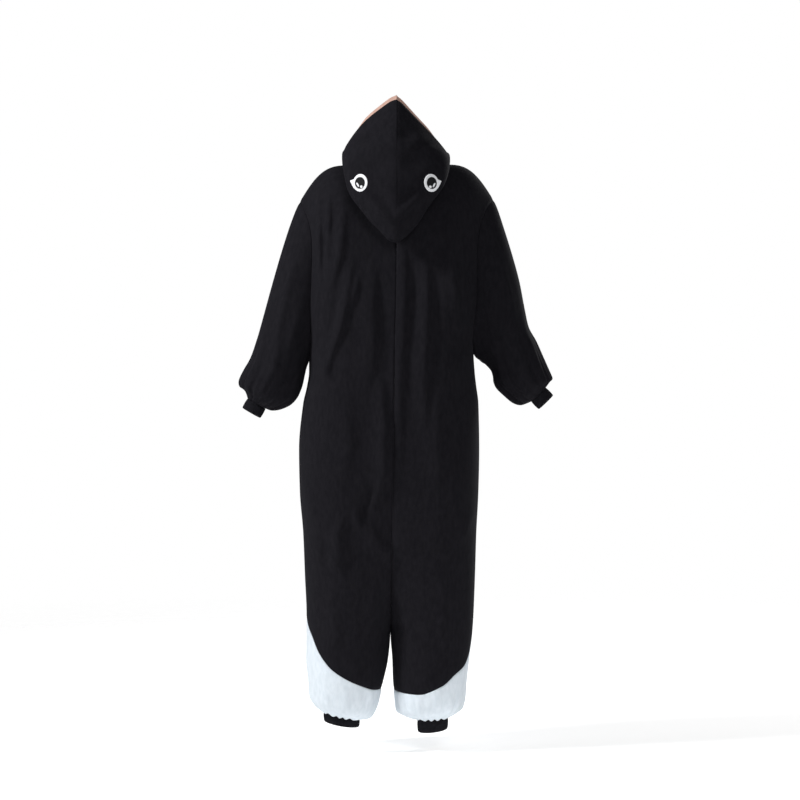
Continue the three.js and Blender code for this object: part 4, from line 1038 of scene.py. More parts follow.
@dataclass
class Body:
    """The back, side fronts, belly and lower legs of the garment."""

    cut: Cut
    drape: Drape
    columns: int = 48
    row_step: float = 9.0
    yoke_rows: int = 30
    hem_rows: int = 30
    hem_tilts: dict[Side, tuple[float, float, float, float]] = field(default_factory=lambda: {
        Side.LEFT: (128.0, 44.0, -1.0, 9.0),
        Side.RIGHT: (-90.5, 38.5, -7.0, -2.2),
    })
    hem_tilt_top: float = 138.0
    gather_top: float = 150.0
    gather_depth: float = 2.6
    scallop_rise: float = 4.2
    hem_crowding: float = 1.35
    climb_crowding: float = 1.25
    side_fade: float = 0.14
    belly_columns: int = 38
    side_columns: int = 26
    centre_columns: int = 12
    ankles: dict[Side, float] = field(default_factory=lambda: {Side.LEFT: 128.0, Side.RIGHT: -90.5})
    grids: dict[tuple[Side, Face], Array] = field(default_factory=dict)
    normals: dict[tuple[Side, Face], Array] = field(default_factory=dict)
    armhole_rows: dict[Side, int] = field(default_factory=dict)

    def shares(self) -> Array:
        """Even places from the centre line to the side."""
        return np.linspace(0, 1, self.columns + 1)

    def level(self, side: Side, face: Face, z: float) -> Array:
        """One level row of a half."""
        return evenly(self.cut.half_section(side, face, z), self.columns)

    def sloped(self, side: Side, face: Face, heights: Array) -> Array:
        """A row whose height changes from column to column.

        Args:
            side: The side.
            face: The face.
            heights: Height at each column.

        Returns:
            One point a column.
        """
        rows = [self.level(side, face, float(z))[j] for j, z in enumerate(heights)]
        return np.array(rows)

    def creased(self, side: Side, face: Face, grid: Array, shares: Array) -> Array:
        """Lay the folds on a grid, fading them out towards the side.

        Args:
            side: The side; not used.
            face: The face.
            grid: The smooth points.
            shares: Place of each point across the half.

        Returns:
            The folded points.
        """
        fade = np.clip((1 - shares) / self.side_fade, 0, 1)
        folded = grid.copy()
        folded[..., 1] += face.value * self.drape.lift(face, grid) * fade
        return folded

    def upper(self, side: Side, face: Face) -> Array:
        """Rows from the black edge or the belly's tip up to the neck and shoulder."""
        cut = self.cut
        shares = self.shares()
        low = cut.tail(side, shares) if face is Face.BACK else np.full(len(shares), cut.belly_tip)
        rows = []
        slopes = max(int((cut.leg_top - low.min()) / self.row_step), 6)
        for step in np.linspace(0, 1, slopes + 1)[:-1]:
            rows.append(self.sloped(side, face, low + (cut.leg_top - low) * step))
        underarm = cut.shoulders[side].underarm
        steps = round((underarm - cut.leg_top) / self.row_step)
        rows += [self.level(side, face, z) for z in np.linspace(cut.leg_top, underarm, steps + 1)]
        steps = round((cut.chest - underarm) / self.row_step)
        climb = np.linspace(0, 1, steps + 1)[1:] ** self.climb_crowding
        rows += [self.level(side, face, underarm + (cut.chest - underarm) * s) for s in climb]
        chest = rows[-1]
        self.armhole_rows[side] = len(climb) + self.yoke_rows + 1
        for step in np.linspace(0, 1, self.yoke_rows + 1)[1:]:
            row = [cut.yoke_point(side, face, s, chest[j], step) for j, s in enumerate(shares)]
            rows.append(np.array(row))
        grid = np.array(rows)
        across = np.broadcast_to(shares, grid.shape[:2]).copy()
        yoke = np.zeros(grid.shape[0])
        yoke[-self.yoke_rows:] = np.linspace(0, 1, self.yoke_rows + 1)[1:]
        return self.creased(side, face, grid, np.maximum(across, yoke[:, None]))

    def gathers(self, side: Side, grid: Array) -> Array:
        """Draw the lower leg in soft folds towards the ankle.

        Args:
            side: The side.
            grid: The smooth points.

        Returns:
            The gathered points.
        """
        middle = np.array([self.ankles[side], 0.0])
        flat = grid[..., :2] - middle
        angle = np.arctan2(flat[..., 1], flat[..., 0])
        low = np.clip((self.gather_top - grid[..., 2]) / (self.gather_top - self.cut.hem), 0, 1)
        # Each wave runs round the ankle a whole number of times, and is bent so that folds differ.
        coarse = np.sin(13 * angle + 1.2 * np.sin(3 * angle))
        fine = np.sin(21 * angle + 2.0 + np.sin(5 * angle))
        wave = 0.55 * coarse + 0.45 * fine
        depth = self.gather_depth * np.sin(np.pi * np.clip(low, 0, 1) ** 0.75) ** 0.8
        moved = grid.copy()
        moved[..., :2] += unit(flat) * (wave * depth)[..., None]
        scallop = 0.5 + 0.5 * np.cos(15 * angle + 1.6 * np.sin(4 * angle))
        across, reach, lower, tilt = self.hem_tilts[side]
        fade = np.clip((self.hem_tilt_top - grid[..., 2]) / (self.hem_tilt_top - self.cut.hem), 0, 1)
        moved[..., 2] += self.scallop_rise * scallop**1.5 * low**4
        moved[..., 2] += (lower + tilt * (grid[..., 0] - across) / reach) * fade
        return moved

    def lower(self, side: Side, face: Face) -> Array:
        """Rows of the white lower leg, from the gathered hem up."""
        cut = self.cut
        shares = self.shares()
        top = cut.tail(side, shares) if face is Face.BACK else np.full(len(shares), cut.belly_tip)
        rows = []
        for step in np.linspace(0, 1, self.hem_rows + 1):
            heights = cut.hem + (top - cut.hem) * step**self.hem_crowding
            rows.append(self.sloped(side, face, heights))
        grid = np.array(rows)
        grid = self.creased(side, face, grid, np.broadcast_to(shares, grid.shape[:2]))
        return self.gathers(side, grid)

    def oriented(self, side: Side, face: Face, grid: Array) -> Array:
        """Outward normals of a half, level across its seams."""
        normals = grid_normals(grid)
        if (normals[..., 1] * face.value).mean() < 0:
            normals = -normals
        low = grid[:, 0, 2] < self.cut.crotch
        normals[low, 0, 1] = 0
        normals[~low, 0, 0] = 0
        under = grid[:, -1, 2] <= self.cut.shoulders[side].underarm
        normals[under, -1, 1] = 0
        return unit(normals)

    def share_seam(self, side: Side, sleeve_normals: Array) -> Array:
        """Average the body's and the sleeve's normals round the armhole.

        Args:
            side: The side.
            sleeve_normals: The sleeve's first row of normals.

        Returns:
            The shared normals, one for each point of the loop.
        """
        count = self.armhole_rows[side]
        back = self.normals[side, Face.BACK][-count:, -1]
        front = self.normals[side, Face.FRONT][-count:, -1]
        own = np.vstack([back, front[1:-1][::-1]])
        seam = unit(own + sleeve_normals)
        for k in (0, count - 1):
            seam[k, 1] = 0
        seam = unit(seam)
        self.normals[side, Face.BACK][-count:, -1] = seam[:count]
        front_seam = np.vstack([seam[:1], seam[count:][::-1], seam[count - 1:count]])
        self.normals[side, Face.FRONT][-count:, -1] = front_seam
        first = round(self.cut.neck_share * self.columns)
        for face in Face:
            self.normals[side, face][-1, first:-1, 1] = 0
            self.normals[side, face] = unit(self.normals[side, face])
        return seam

    def loop(self, side: Side) -> Array:
        """The armhole: underarm, up the back edge, the shoulder point, down the front edge."""
        count = self.armhole_rows[side]
        back = self.grids[side, Face.BACK][-count:, -1]
        front = self.grids[side, Face.FRONT][-count:, -1]
        return np.vstack([back, front[1:-1][::-1]])

    def plan(self, side: Side) -> None:
        """Work out both faces of a side."""
        for face in Face:
            grid = self.upper(side, face)
            self.grids[side, face] = grid
            self.normals[side, face] = self.oriented(side, face, grid)

    def build_back(self, side: Side) -> None:
        """Make the black back and its white lower leg."""
        word = side.word
        grid, normals = self.grids[side, Face.BACK], self.normals[side, Face.BACK]
        sewn = (Edge.FIRST_ROW, Edge.FIRST_COLUMN, Edge.LAST_COLUMN)
        names = (f"cloth_back_{word}", f"back_{word}")
        piece = panel(*names, BLACK_FLEECE, grid, normals, sewn, BLACK_ROLL)
        low = self.lower(side, Face.BACK)
        low_normals = self.oriented(side, Face.BACK, low)
        sewn = (Edge.LAST_ROW, Edge.FIRST_COLUMN, Edge.LAST_COLUMN)
        names = (f"cloth_back_leg_{word}", f"back_leg_{word}")
        piece = panel(*names, WHITE_FLEECE, low, low_normals, sewn, WHITE_ROLL)

    def split(self, grid: Array, start: Array, end: Array, count: int) -> Array:
        """Resample each row between two places across it.

        Args:
            grid: Rows by columns.
            start: Where each row begins, as a share.
            end: Where each row ends.
            count: Steps across.

        Returns:
            The new grid.
        """
        places = start[:, None] + (end - start)[:, None] * np.linspace(0, 1, count + 1)
        at = places * (grid.shape[1] - 1)
        k = np.minimum(at.astype(int), grid.shape[1] - 2)
        rows = np.arange(grid.shape[0])[:, None]
        return grid[rows, k] + (grid[rows, k + 1] - grid[rows, k]) * (at - k)[..., None]

    def build_front(self, side: Side) -> None:
        """Make the white belly with the front of the leg, and the black side front."""
        word = side.word
        grid, normals = self.grids[side, Face.FRONT], self.normals[side, Face.FRONT]
        low = self.lower(side, Face.FRONT)[:-1]
        low_normals = self.oriented(side, Face.FRONT, low)
        edge = self.cut.belly(grid[:, grid.shape[1] // 2, 2])
        leg_part = (np.zeros(len(low)), np.ones(len(low)), self.belly_columns)
        white_part = (np.zeros(len(grid)), edge, self.belly_columns)
        black_part = (edge, np.ones(len(grid)), self.side_columns)
        belly = np.vstack([self.split(low, *leg_part), self.split(grid, *white_part)])
        belly_normals = np.vstack([self.split(low_normals, *leg_part), self.split(normals, *white_part)])
        belly_normals = unit(belly_normals)
        sewn = (Edge.FIRST_COLUMN, Edge.LAST_COLUMN)
        names = (f"cloth_belly_{word}", f"front_belly_{word}")
        piece = panel(*names, WHITE_FLEECE, belly, belly_normals, sewn, WHITE_ROLL)
        sides = self.split(grid, *black_part)
        side_normals = unit(self.split(normals, *black_part))
        names = (f"cloth_side_front_{word}", f"front_side_{word}")
        clear = (Edge.FIRST_ROW, Edge.LAST_ROW)
        piece = panel(*names, BLACK_FLEECE, sides, side_normals, sewn, SIDE_ROLL, clear)

    def front_y(self, x: float, z: float) -> float:
        """Depth of the front's outer surface at a place.

        Args:
            x: Sideways place.
            z: Height above the soles.

        Returns:
            The y there.
        """
        side = Side.LEFT if x >= self.centre(z) else Side.RIGHT
        grid = self.grids[side, Face.FRONT]
        near = range(self.centre_columns)
        row = np.array([[np.interp(z, grid[:, j, 2], grid[:, j, axis]) for axis in (0, 1)] for j in near])
        order = np.argsort(row[:, 0])
        return float(np.interp(x, row[order, 0], row[order, 1]))

    def centre(self, z: float) -> float:
        """Place of the centre front at a height."""
        return self.cut.middle if z > self.cut.chest else self.cut.read("inner_left", z)


@dataclass(frozen=True)
class SleeveRing:
    """One ring of a sleeve: its outer and inner outline points, half depth and gathers."""

    out_x: float
    out_z: float
    in_x: float
    in_z: float
    depth: float
    gather: float


@dataclass(frozen=True)
class SleeveFold:
    """A fold along a sleeve.

    Attributes:
        angle: Where it lies round the sleeve, in degrees; 0 is outward, 90 is behind.
        start: Ring where it begins.
        end: Ring where it ends.
        width: Half width in degrees.
        height: How far it stands out.
        swing: How many degrees it drifts on its way.
    """

    angle: float
    start: float
    end: float
    width: float
    height: float
    swing: float = 0.0


@dataclass
class Sleeve:
    """A wide sleeve, set into the deep armhole and gathered into its cuff."""

    side: Side
    rings: tuple[SleeveRing, ...]
    folds: tuple[SleeveFold, ...]
    steps: int = 84
    seam_depth: float = 80.0
    seam_reach: float = 3.0
    pleat_share: float = 0.85
    least_depth: float = 20.0
    seam_part: float = 0.5

    def grid(self, loop: Array) -> Array:
        """Points of the sleeve from the armhole to the cuff.

        Args:
            loop: The armhole's points.

        Returns:
            Rings by columns.
        """
        half = len(loop) // 2
        runs = np.linalg.norm(np.diff(loop[:half + 1], axis=0), axis=1)
        lengths = np.concatenate([[0], np.cumsum(runs)]) / runs.sum()
        index = np.arange(len(loop))
        behind = lengths[np.minimum(index, half)]
        ahead = lengths[np.minimum(len(loop) - index, half)]
        share = np.where(index <= half, behind, ahead)
        angle = np.where(index <= half, 1, -1) * np.pi * (1 - share)
        seam = SleeveRing(loop[half][0], loop[half][2], loop[0][0], loop[0][2], self.seam_depth, 0)
        rings = (seam, *self.rings)
        table = np.array([[r.out_x, r.out_z, r.in_x, r.in_z, r.depth, r.gather] for r in rings])
        last = len(table) - 1
        rows = []
        for s in np.linspace(0, 1, self.steps + 1):
            out_x, out_z, in_x, in_z, depth, gather = smooth_list(table, s)
            at = s * last
            rows.append(self.ring(angle, (out_x, out_z), (in_x, in_z), depth, gather, at))
        grid = np.array(rows)
        keep = np.clip(1 - np.linspace(0, last, self.steps + 1) / self.seam_reach, 0, 1) ** 2
        return grid + (loop - grid[0])[None] * keep[:, None, None]

    def ring(
        self, angle: Array, out: Pair, inner: Pair, depth: float, gather: float, at: float
    ) -> Array:
        """One ring with its gathers and folds.

        Args:
            angle: Angle of each column.
            out: Outer outline point (x, height).
            inner: Inner outline point.
            depth: Half depth.
            gather: Depth of the gathers.
            at: The ring's place in the table.

        Returns:
            One point a column.
        """
        middle = (np.array(out) + np.array(inner)) / 2
        arm = np.array(out) - middle
        lift = np.zeros_like(angle)
        for fold in self.folds:
            span = (at - fold.start) / (fold.end - fold.start)
            if not 0 < span < 1:
                continue
            place = math.radians(fold.angle + fold.swing * span)
            away = np.degrees(np.arctan2(np.sin(angle - place), np.cos(angle - place)))
            lift += fold.height * math.sin(math.pi * span) ** 0.8 * bell(away, fold.width)
        pleats = 0.6 * np.sin(15 * angle + 1.4 * np.sin(2 * angle)) + 0.4 * np.sin(26 * angle + 1.7)
        lift += gather * pleats * self.pleat_share
        scale = 1 + lift / max(depth, self.least_depth)
        flat = middle + np.outer(np.cos(angle) * scale, arm)
        return np.column_stack([flat[:, 0], np.sin(angle) * depth * scale, flat[:, 1]])

    def build(self, body: Body) -> None:
        """Make the sleeve.

        Args:
            body: The body that it is set into.
        """
        grid = self.grid(body.loop(self.side))
        normals = grid_normals(grid, closed=True)
        if (normals[..., 1] * np.sign(grid[..., 1])).mean() < 0:
            normals = -normals
        normals[0] = body.share_seam(self.side, normals[0])
        outer = rolled_edges(grid, normals, (Edge.FIRST_ROW,), *BLACK_ROLL)
        outer = inset(outer, (Edge.FIRST_ROW,), self.seam_part)
        word = self.side.word
        wall = cloth_wall(f"cloth_sleeve_{word}", outer, normals, closed=True)
        piece = dress(wall, BLACK_FLEECE, f"sleeve_{word}")


@dataclass(frozen=True)
class RibCuff:
    """A rib-knit cuff round a limb.

    Attributes:
        name: The piece's name.
        node: The node that it replaces.
        top: Centre of the upper edge.
        end: Centre of the lower edge.
        across: Direction of the wide radius.
        wide: Wide radius.
        back: Radius behind.
        front: Radius in front.
        ribs: How many ribs run round.
        top_tilt: How much the upper edge rises along the wide radius.
        tilt: How much the lower edge rises along the wide radius.
        flat: Width and length of the flat cut, in metres.
        rows: Steps along the cuff.
        points: Points round each rib.
        rib_height: How far a rib stands out.
        swell: How much wider the cuff is at its middle.
        sunk: How far the hollows between the ribs lie inside the radii.
        edge_turn: How far the folded edge turns in.
        edge_start: Share of the length where that turn begins.
        thickness: The wall under the ribs.
        lining_turn: How much the inner face turns out at the folded edge.
    """

    name: str
    node: str
    top: Triple
    end: Triple
    across: Triple
    wide: float
    back: float
    front: float
    ribs: int
    top_tilt: float
    tilt: float
    flat: Pair
    rows: int = 16
    points: int = 6
    rib_height: float = 0.9
    swell: float = 0.035
    sunk: float = 1.2
    edge_turn: float = 1.1
    edge_start: float = 0.9
    thickness: float = 2.0
    lining_turn: float = 0.8

    def build(self) -> None:
        """Make the cuff with its ribs and a soft folded edge."""
        columns = self.ribs * self.points
        angle = np.linspace(0, 2 * np.pi, columns, endpoint=False)
        rib = self.rib_height * (0.5 + 0.5 * np.cos(self.ribs * angle)) ** 0.7
        across = np.array(self.across)
        outer, inner = [], []
        for share in np.linspace(0, 1, self.rows + 1):
            middle = np.array(self.top) * (1 - share) + np.array(self.end) * share
            swell = 1 + self.swell * math.sin(math.pi * share)
            round_edge = self.edge_turn * max(0.0, (share - self.edge_start) / (1 - self.edge_start)) ** 2
            wide = self.wide * swell - self.sunk - round_edge
            deep = np.where(np.sin(angle) > 0, self.back, self.front) * swell - self.sunk - round_edge
            lining = np.full(columns, self.lining_turn * round_edge - self.thickness)
            for store, radius in ((outer, rib), (inner, lining)):
                ring = middle + np.outer(np.cos(angle) * (wide + radius), across)
                ring[:, 1] += np.sin(angle) * (deep + radius)
                ring[:, 2] += (self.top_tilt * (1 - share) + self.tilt * share) * np.cos(angle)
                store.append(ring)
        points = metres(np.vstack([np.array(outer).reshape(-1, 3), np.array(inner).reshape(-1, 3)]))
        piece = mesh_object(self.name, points, wall_faces(self.rows + 1, columns, True))
        dress(piece, BLACK_RIB, self.node)


@dataclass
class Hood:
    """The hood, down on the back, with its pointed peak and the salmon underside."""

    cut: Cut
    necks: tuple[float, ...] = (90, 55, 20, -12, -50, -86)
    paths: tuple[tuple[Triple, ...], ...] = (
        ((0, 90, 1417), (0, 128, 1398), (0, 146, 1310), (0, 156, 1212), (0, 178, 1208),
         (0, 198, 1262), (0, 194, 1360), (0, 160, 1462), (0, 106, 1549)),
        ((50, 74, 1424), (54, 108, 1408), (56, 136, 1335), (56, 148, 1262), (59, 166, 1250),
         (66, 182, 1298), (74, 172, 1372), (80, 140, 1438), (74, 98, 1494)),
        ((82, 40, 1428), (92, 70, 1420), (100, 104, 1382), (106, 122, 1338), (112, 134, 1330),
         (118, 140, 1352), (122, 130, 1384), (123, 112, 1414), (120, 84, 1436)),
        ((90, -8, 1424), (101, 8, 1424), (110, 26, 1416), (117, 40, 1405), (122, 46, 1405),
         (125, 44, 1411), (125, 36, 1421), (123, 24, 1430), (114, 6, 1436)),
        ((64, -66, 1380), (76, -72, 1388), (86, -76, 1390), (94, -80, 1388), (98, -84, 1390),
         (98, -86, 1396), (94, -86, 1402), (86, -84, 1406), (76, -78, 1408)),
        ((5, -90, 1338), (5, -98, 1344), (5, -104, 1344), (5, -110, 1340), (5, -115, 1340),
         (5, -117, 1346), (5, -115, 1352), (5, -110, 1357), (5, -103, 1360)),
    )
    seam_gap: float = 3.2
    squashes: tuple[float, ...] = (0, 1, 1, 0.3, 0, 0)
    squash_share: float = 0.13
    squash_middle: float = 1340
    squash_first: int = 5
    tip_drop: float = 6.0
    tip_flanks: dict[Side, float] = field(default_factory=lambda: {Side.LEFT: 6.0, Side.RIGHT: 1.5})
    peak_round: float = 4.5
    low_right_in: float = 11.0
    tip_top: float = 1290
    tip_fade: float = 60
    tip_width: float = 40
    flank_x: float = 22
    flank_width: float = 14
    peak_foot: float = 1500
    peak_fade: float = 40
    peak_width: float = 10
    low_z: float = 1285
    low_height: float = 42
    low_fade: float = 60
    scales: dict[Side, float] = field(default_factory=lambda: {Side.LEFT: 1.0, Side.RIGHT: 0.98})
    columns: int = 54
    rows: int = 110
    crowding: float = 1.1
    ripple: float = 0.6
    outer_layer: float = 0.46
    layer_fade: float = 0.1
    edge_fade: float = 0.06
    rim: float = 15.0
    rim_share: float = 0.33
    rim_rows: int = 6
    rim_start: float = 0.85
    rim_gap: float = 0.7
    rim_least: float = 0.25
    rim_ramp: float = 0.35
    upper_layer: float = 0.66
    creases: tuple[Crease, ...] = (
        Crease(Face.BACK, ((52, 1294), (23, 1262), (2, 1238)), 8, 5.0, -0.35),
        Crease(Face.BACK, ((-2, 1252), (-30, 1279), (-60, 1308)), 8, 3.8, -0.3),
        Crease(Face.BACK, ((54, 1322), (26, 1294), (6, 1272)), 9, -4.0, 0.0),
        Crease(Face.BACK, ((-6, 1280), (-34, 1308), (-62, 1336)), 8, -3.0, 0.0),
        Crease(Face.BACK, ((100, 1447), (60, 1452), (22, 1438)), 10, -4.0, 0.2),
        Crease(Face.BACK, ((98, 1418), (48, 1426), (10, 1414)), 11, 3.4, 0.2),
        Crease(Face.BACK, ((16, 1500), (34, 1480), (60, 1474)), 11, 2.0, 0.0),
        Crease(Face.BACK, ((92, 1384), (60, 1370), (30, 1382)), 13, -2.4, 0.0),
        Crease(Face.BACK, ((104, 1372), (98, 1320), (76, 1288)), 9, 2.0, 0.2),
        Crease(Face.BACK, ((-12, 1470), (-26, 1458), (-40, 1446)), 11, -2.6, 0.0),
        Crease(Face.BACK, ((-30, 1419), (-49, 1435), (-70, 1454)), 8, 2.8, -0.3),
        Crease(Face.BACK, ((-62, 1422), (-78, 1424), (-96, 1420)), 9, 2.0, 0.0),
        Crease(Face.BACK, ((-22, 1398), (-46, 1388), (-72, 1392)), 12, -2.6, 0.2),
        Crease(Face.BACK, ((-20, 1350), (-40, 1344), (-58, 1352)), 14, 1.8, 0.0),
    )
    behind_y: float = 0.6
    near_y: float = 0.2
    trees: dict[Side, BVHTree] = field(default_factory=dict)

    def neck(self, side: Side, angle: float) -> Array:
        """The hood's seam point over the body's neckline."""
        face = Face.BACK if angle >= 0 else Face.FRONT
        point = self.cut.neck_point(side, face, math.radians(angle))
        return point + np.array([0, 0, self.seam_gap])

    def grid(self, side: Side) -> Array:
        """Points of one half, from the neck seam to the face edge."""
        paths = np.array(self.paths, float)
        shares = np.linspace(0, 1, self.rows + 1)
        columns = []
        for j in range(self.columns + 1):
            around = (j / self.columns) ** self.crowding
            angle = float(smooth_list(np.array(self.necks, float), around))
            points = smooth_list(paths, around).copy()
            if side is Side.RIGHT:
                squash = self.squash_share * float(smooth_list(np.array(self.squashes, float), around))
                outer = points[self.squash_first:, 2]
                points[self.squash_first:, 2] = outer + (self.squash_middle - outer) * squash
            points[:, 0] = self.cut.middle + side.value * self.scales[side] * points[:, 0]
            columns.append(spline(np.vstack([self.neck(side, angle), points]), shares))
        return self.softened(side, np.stack(columns, axis=1))

    def softened(self, side: Side, grid: Array) -> Array:
        """Blunt the tip at the hood's bottom, round the peak and draw in its low right side.

        Args:
            side: The half.
            grid: Its points.

        Returns:
            The points, moved a little.
        """
        x, z = np.abs(grid[..., 0] - self.cut.middle), grid[..., 2]
        low = np.clip((self.tip_top - z) / self.tip_fade, 0, 1)
        low = low * np.clip(grid[..., 1] / 100 - 0.5, 0, 1)
        flank = self.tip_flanks[side] * bell(x - self.flank_x, self.flank_width)
        top = np.clip((z - self.peak_foot) / self.peak_fade, 0, 1)
        peak = self.peak_round * bell(x, self.peak_width) * top
        moved = grid.copy()
        moved[..., 2] -= low * (self.tip_drop * bell(x, self.tip_width) + flank) + peak
        if side is Side.RIGHT:
            drawn = self.low_right_in * bell(z - self.low_z, self.low_height)
            drawn = drawn * np.clip(x / self.low_fade, 0, 1)
            moved[..., 0] += drawn * np.clip(grid[..., 1] / self.low_fade - 1, 0, 1)
        return moved

    def folded(self, side: Side, grid: Array, normals: Array) -> Array:
        """Lay the hood's own creases on its outer layer."""
        x, z = grid[..., 0] - self.cut.middle, grid[..., 2]
        rows = np.linspace(0, 1, grid.shape[0])[:, None]
        outer_layer = np.clip((rows - self.outer_layer) / self.layer_fade, 0, 1)
        outer_layer = outer_layer * np.clip((1 - rows) / self.edge_fade, 0, 1)
        lift = sum(crease.lift(grid[..., 0], z) for crease in self.creases)
        lift = lift + self.ripple * np.sin(x / 15 + z / 60 + side.value) * np.sin(z / 37)
        return grid + normals * (lift * outer_layer)[..., None]

    def build(self, side: Side) -> None:
        """Make one half of the hood and of the peak's underside."""
        word = side.word
        grid = self.grid(side)
        normals = grid_normals(grid)
        if normals[int(self.rows * self.upper_layer):, :, 1].sum() < 0:
            normals = -normals
        normals[:, 0, 0] = 0
        normals = unit(normals)
        grid = self.folded(side, grid, normals)
        names = (f"cloth_hood_{word}", f"hood_{word}")
        piece = panel(*names, BLACK_FLEECE, grid, normals, (Edge.FIRST_COLUMN,), HOOD_ROLL)
        polygons = [tuple(p.vertices) for p in piece.data.polygons]
        self.trees[side] = BVHTree.FromPolygons([v.co.copy() for v in piece.data.vertices], polygons)
        self.build_underside(side, grid, normals)

    def build_underside(self, side: Side, grid: Array, normals: Array) -> None:
        """Make the salmon underside, whose edge stands past the peak as a rim."""
        last = round(self.columns * self.rim_share)
        first = round(self.rows * self.rim_start)
        part, turned = grid[first:, :last + 1], normals[first:, :last + 1]
        inside = part - turned * (WALL + self.rim_gap)
        way = unit(part[-1] - part[-3])
        growth = self.rim_least + (last - np.arange(last + 1)) / (last * self.rim_ramp)
        reach = self.rim * np.clip(growth, 0, 1)
        steps = np.linspace(0, 1, self.rim_rows + 1)[1:]
        rim = np.array([inside[-1] + way * (reach * s)[:, None] for s in steps])
        outer = np.vstack([inside, rim])
        all_normals = np.vstack([turned, np.repeat(turned[-1:], len(steps), axis=0)])
        outer = inset(outer, (Edge.FIRST_COLUMN,))
        word = side.word
        piece = cloth_wall(f"cloth_peak_underside_{word}", outer, all_normals)
        dress(piece, SALMON_FLEECE, f"peak_underside_{word}")

    def touch(self, side: Side, x: float, z: float) -> tuple[Array, Array]:
        """Find the hood's outer surface behind a place.

        Args:
            side: The half.
            x: Sideways place in millimetres.
            z: Height above the soles.

        Returns:
            The surface point in millimetres above the soles, and its normal.
        """
        start = Vector((x * MM, self.behind_y, (z - NECK_HEIGHT) * MM))
        point, normal, _, _ = self.trees[side].ray_cast(start, Vector((0, -1, 0)))
        if point is None:
            start.y = self.near_y
            point, normal, _, _ = self.trees[side].find_nearest(start)
        spot = np.array(point) / MM
        spot[2] += NECK_HEIGHT
        direction = np.array(normal)
        return spot, direction if direction[1] > 0 else -direction


@dataclass(frozen=True)
class Oval:
    """An oval patch on the hood: its middle, half sizes in millimetres and slant."""

    x: float
    z: float
    half_width: float
    half_height: float
    slant: float = 0.0

    def point(self, angle: float) -> Pair:
        """A point of the outline about the middle."""
        rise = math.sin(angle) * self.half_height
        return math.cos(angle) * self.half_width + self.slant * rise, rise


@dataclass(frozen=True)
class Layer:
    """How a patch lies: its clearance over the hood, its thickness and the points round it."""

    lift: float
    wall: float
    spokes: int


@dataclass
class Eye:
    """One eye: a white patch with a small lash point, a pupil and two glints."""

    side: Side
    white: Oval
    pupil: Oval
    glints: tuple[Oval, Oval]
    white_layer: Layer = Layer(0.35, 1.2, 96)
    pupil_layer: Layer = Layer(1.7, 1.1, 64)
    glint_layer: Layer = Layer(3.0, 0.7, 32)
    lash: float = 8.4
    lash_angle: float = 0.3
    lash_tip: float = 0.09
    lash_run: float = 0.48
    lash_length: float = 1.3
    lash_fade: float = 0.5

    def outline(self, angle: float) -> Pair:
        """The white patch's outline with its outward lash point."""
        x, z = self.white.point(angle)
        lash_angle = self.lash_angle if self.side is Side.LEFT else math.pi - self.lash_angle
        away = self.side.value * math.atan2(math.sin(angle - lash_angle), math.cos(angle - lash_angle))
        if away > 0:
            share = math.exp(-((away / self.lash_tip) ** 2))
        else:
            fade = min(1, max(0, (self.lash_length + away) / self.lash_fade))
            share = math.exp(away / self.lash_run) * fade
        return x + self.side.value * self.lash * share, z

    def patch(self, hood: Hood, name: str, oval: Oval, outline: Outline, layer: Layer) -> Piece:
        """Make a patch with a rounded edge that follows the hood.

        Args:
            hood: The hood that it lies on.
            name: The piece's name.
            oval: The patch's place.
            outline: Its outline about the middle.
            layer: How it lies.

        Returns:
            The piece.
        """
        shares = (1.0, 0.97, 0.92, 0.8, 0.6, 0.4, 0.2)
        heights = (0.45, 0.8, 0.97, 1.0, 1.0, 1.0, 1.0)
        lift, wall, spokes = layer.lift, layer.wall, layer.spokes
        top, bottom = [], []
        for share, height in zip(shares, heights):
            for k in range(spokes):
                dx, dz = outline(2 * math.pi * k / spokes)
                point, normal = hood.touch(self.side, oval.x + dx * share, oval.z + dz * share)
                top.append(point + normal * (lift + wall * height))
                bottom.append(point + normal * lift)
        point, normal = hood.touch(self.side, oval.x, oval.z)
        top.append(point + normal * (lift + wall))
        bottom.append(point + normal * lift)
        count = len(top)
        faces: list[tuple[int, ...]] = []
        for k in range(spokes):
            n = (k + 1) % spokes
            for r in range(len(shares) - 1):
                a, b = r * spokes, (r + 1) * spokes
                faces.append((a + k, a + n, b + n, b + k))
                faces.append((count + a + k, count + b + k, count + b + n, count + a + n))
            ring = (len(shares) - 1) * spokes
            faces.append((ring + k, ring + n, count - 1))
            faces.append((count + ring + n, count + ring + k, 2 * count - 1))
            faces.append((k, count + k, count + n, n))
        return mesh_object(name, metres(np.array(top + bottom)), faces)

    def build(self, hood: Hood) -> None:
        """Make the eye's pieces.

        Args:
            hood: The hood that they lie on.
        """
        word = self.side.word
        white = self.patch(hood, f"patch_eye_{word}", self.white, self.outline, self.white_layer)
        dress(white, EYE_WHITE, f"eye_white_{word}")
        pupil = self.patch(hood, f"patch_pupil_{word}", self.pupil, self.pupil.point, self.pupil_layer)
        dress(pupil, EYE_BLACK, f"pupil_{word}")
        for k, glint in enumerate(self.glints, 1):
            name = f"patch_glint_{word}_{k}"
            piece = self.patch(hood, name, glint, glint.point, self.glint_layer)
            dress(piece, EYE_WHITE, f"glint_{word}_{k}")


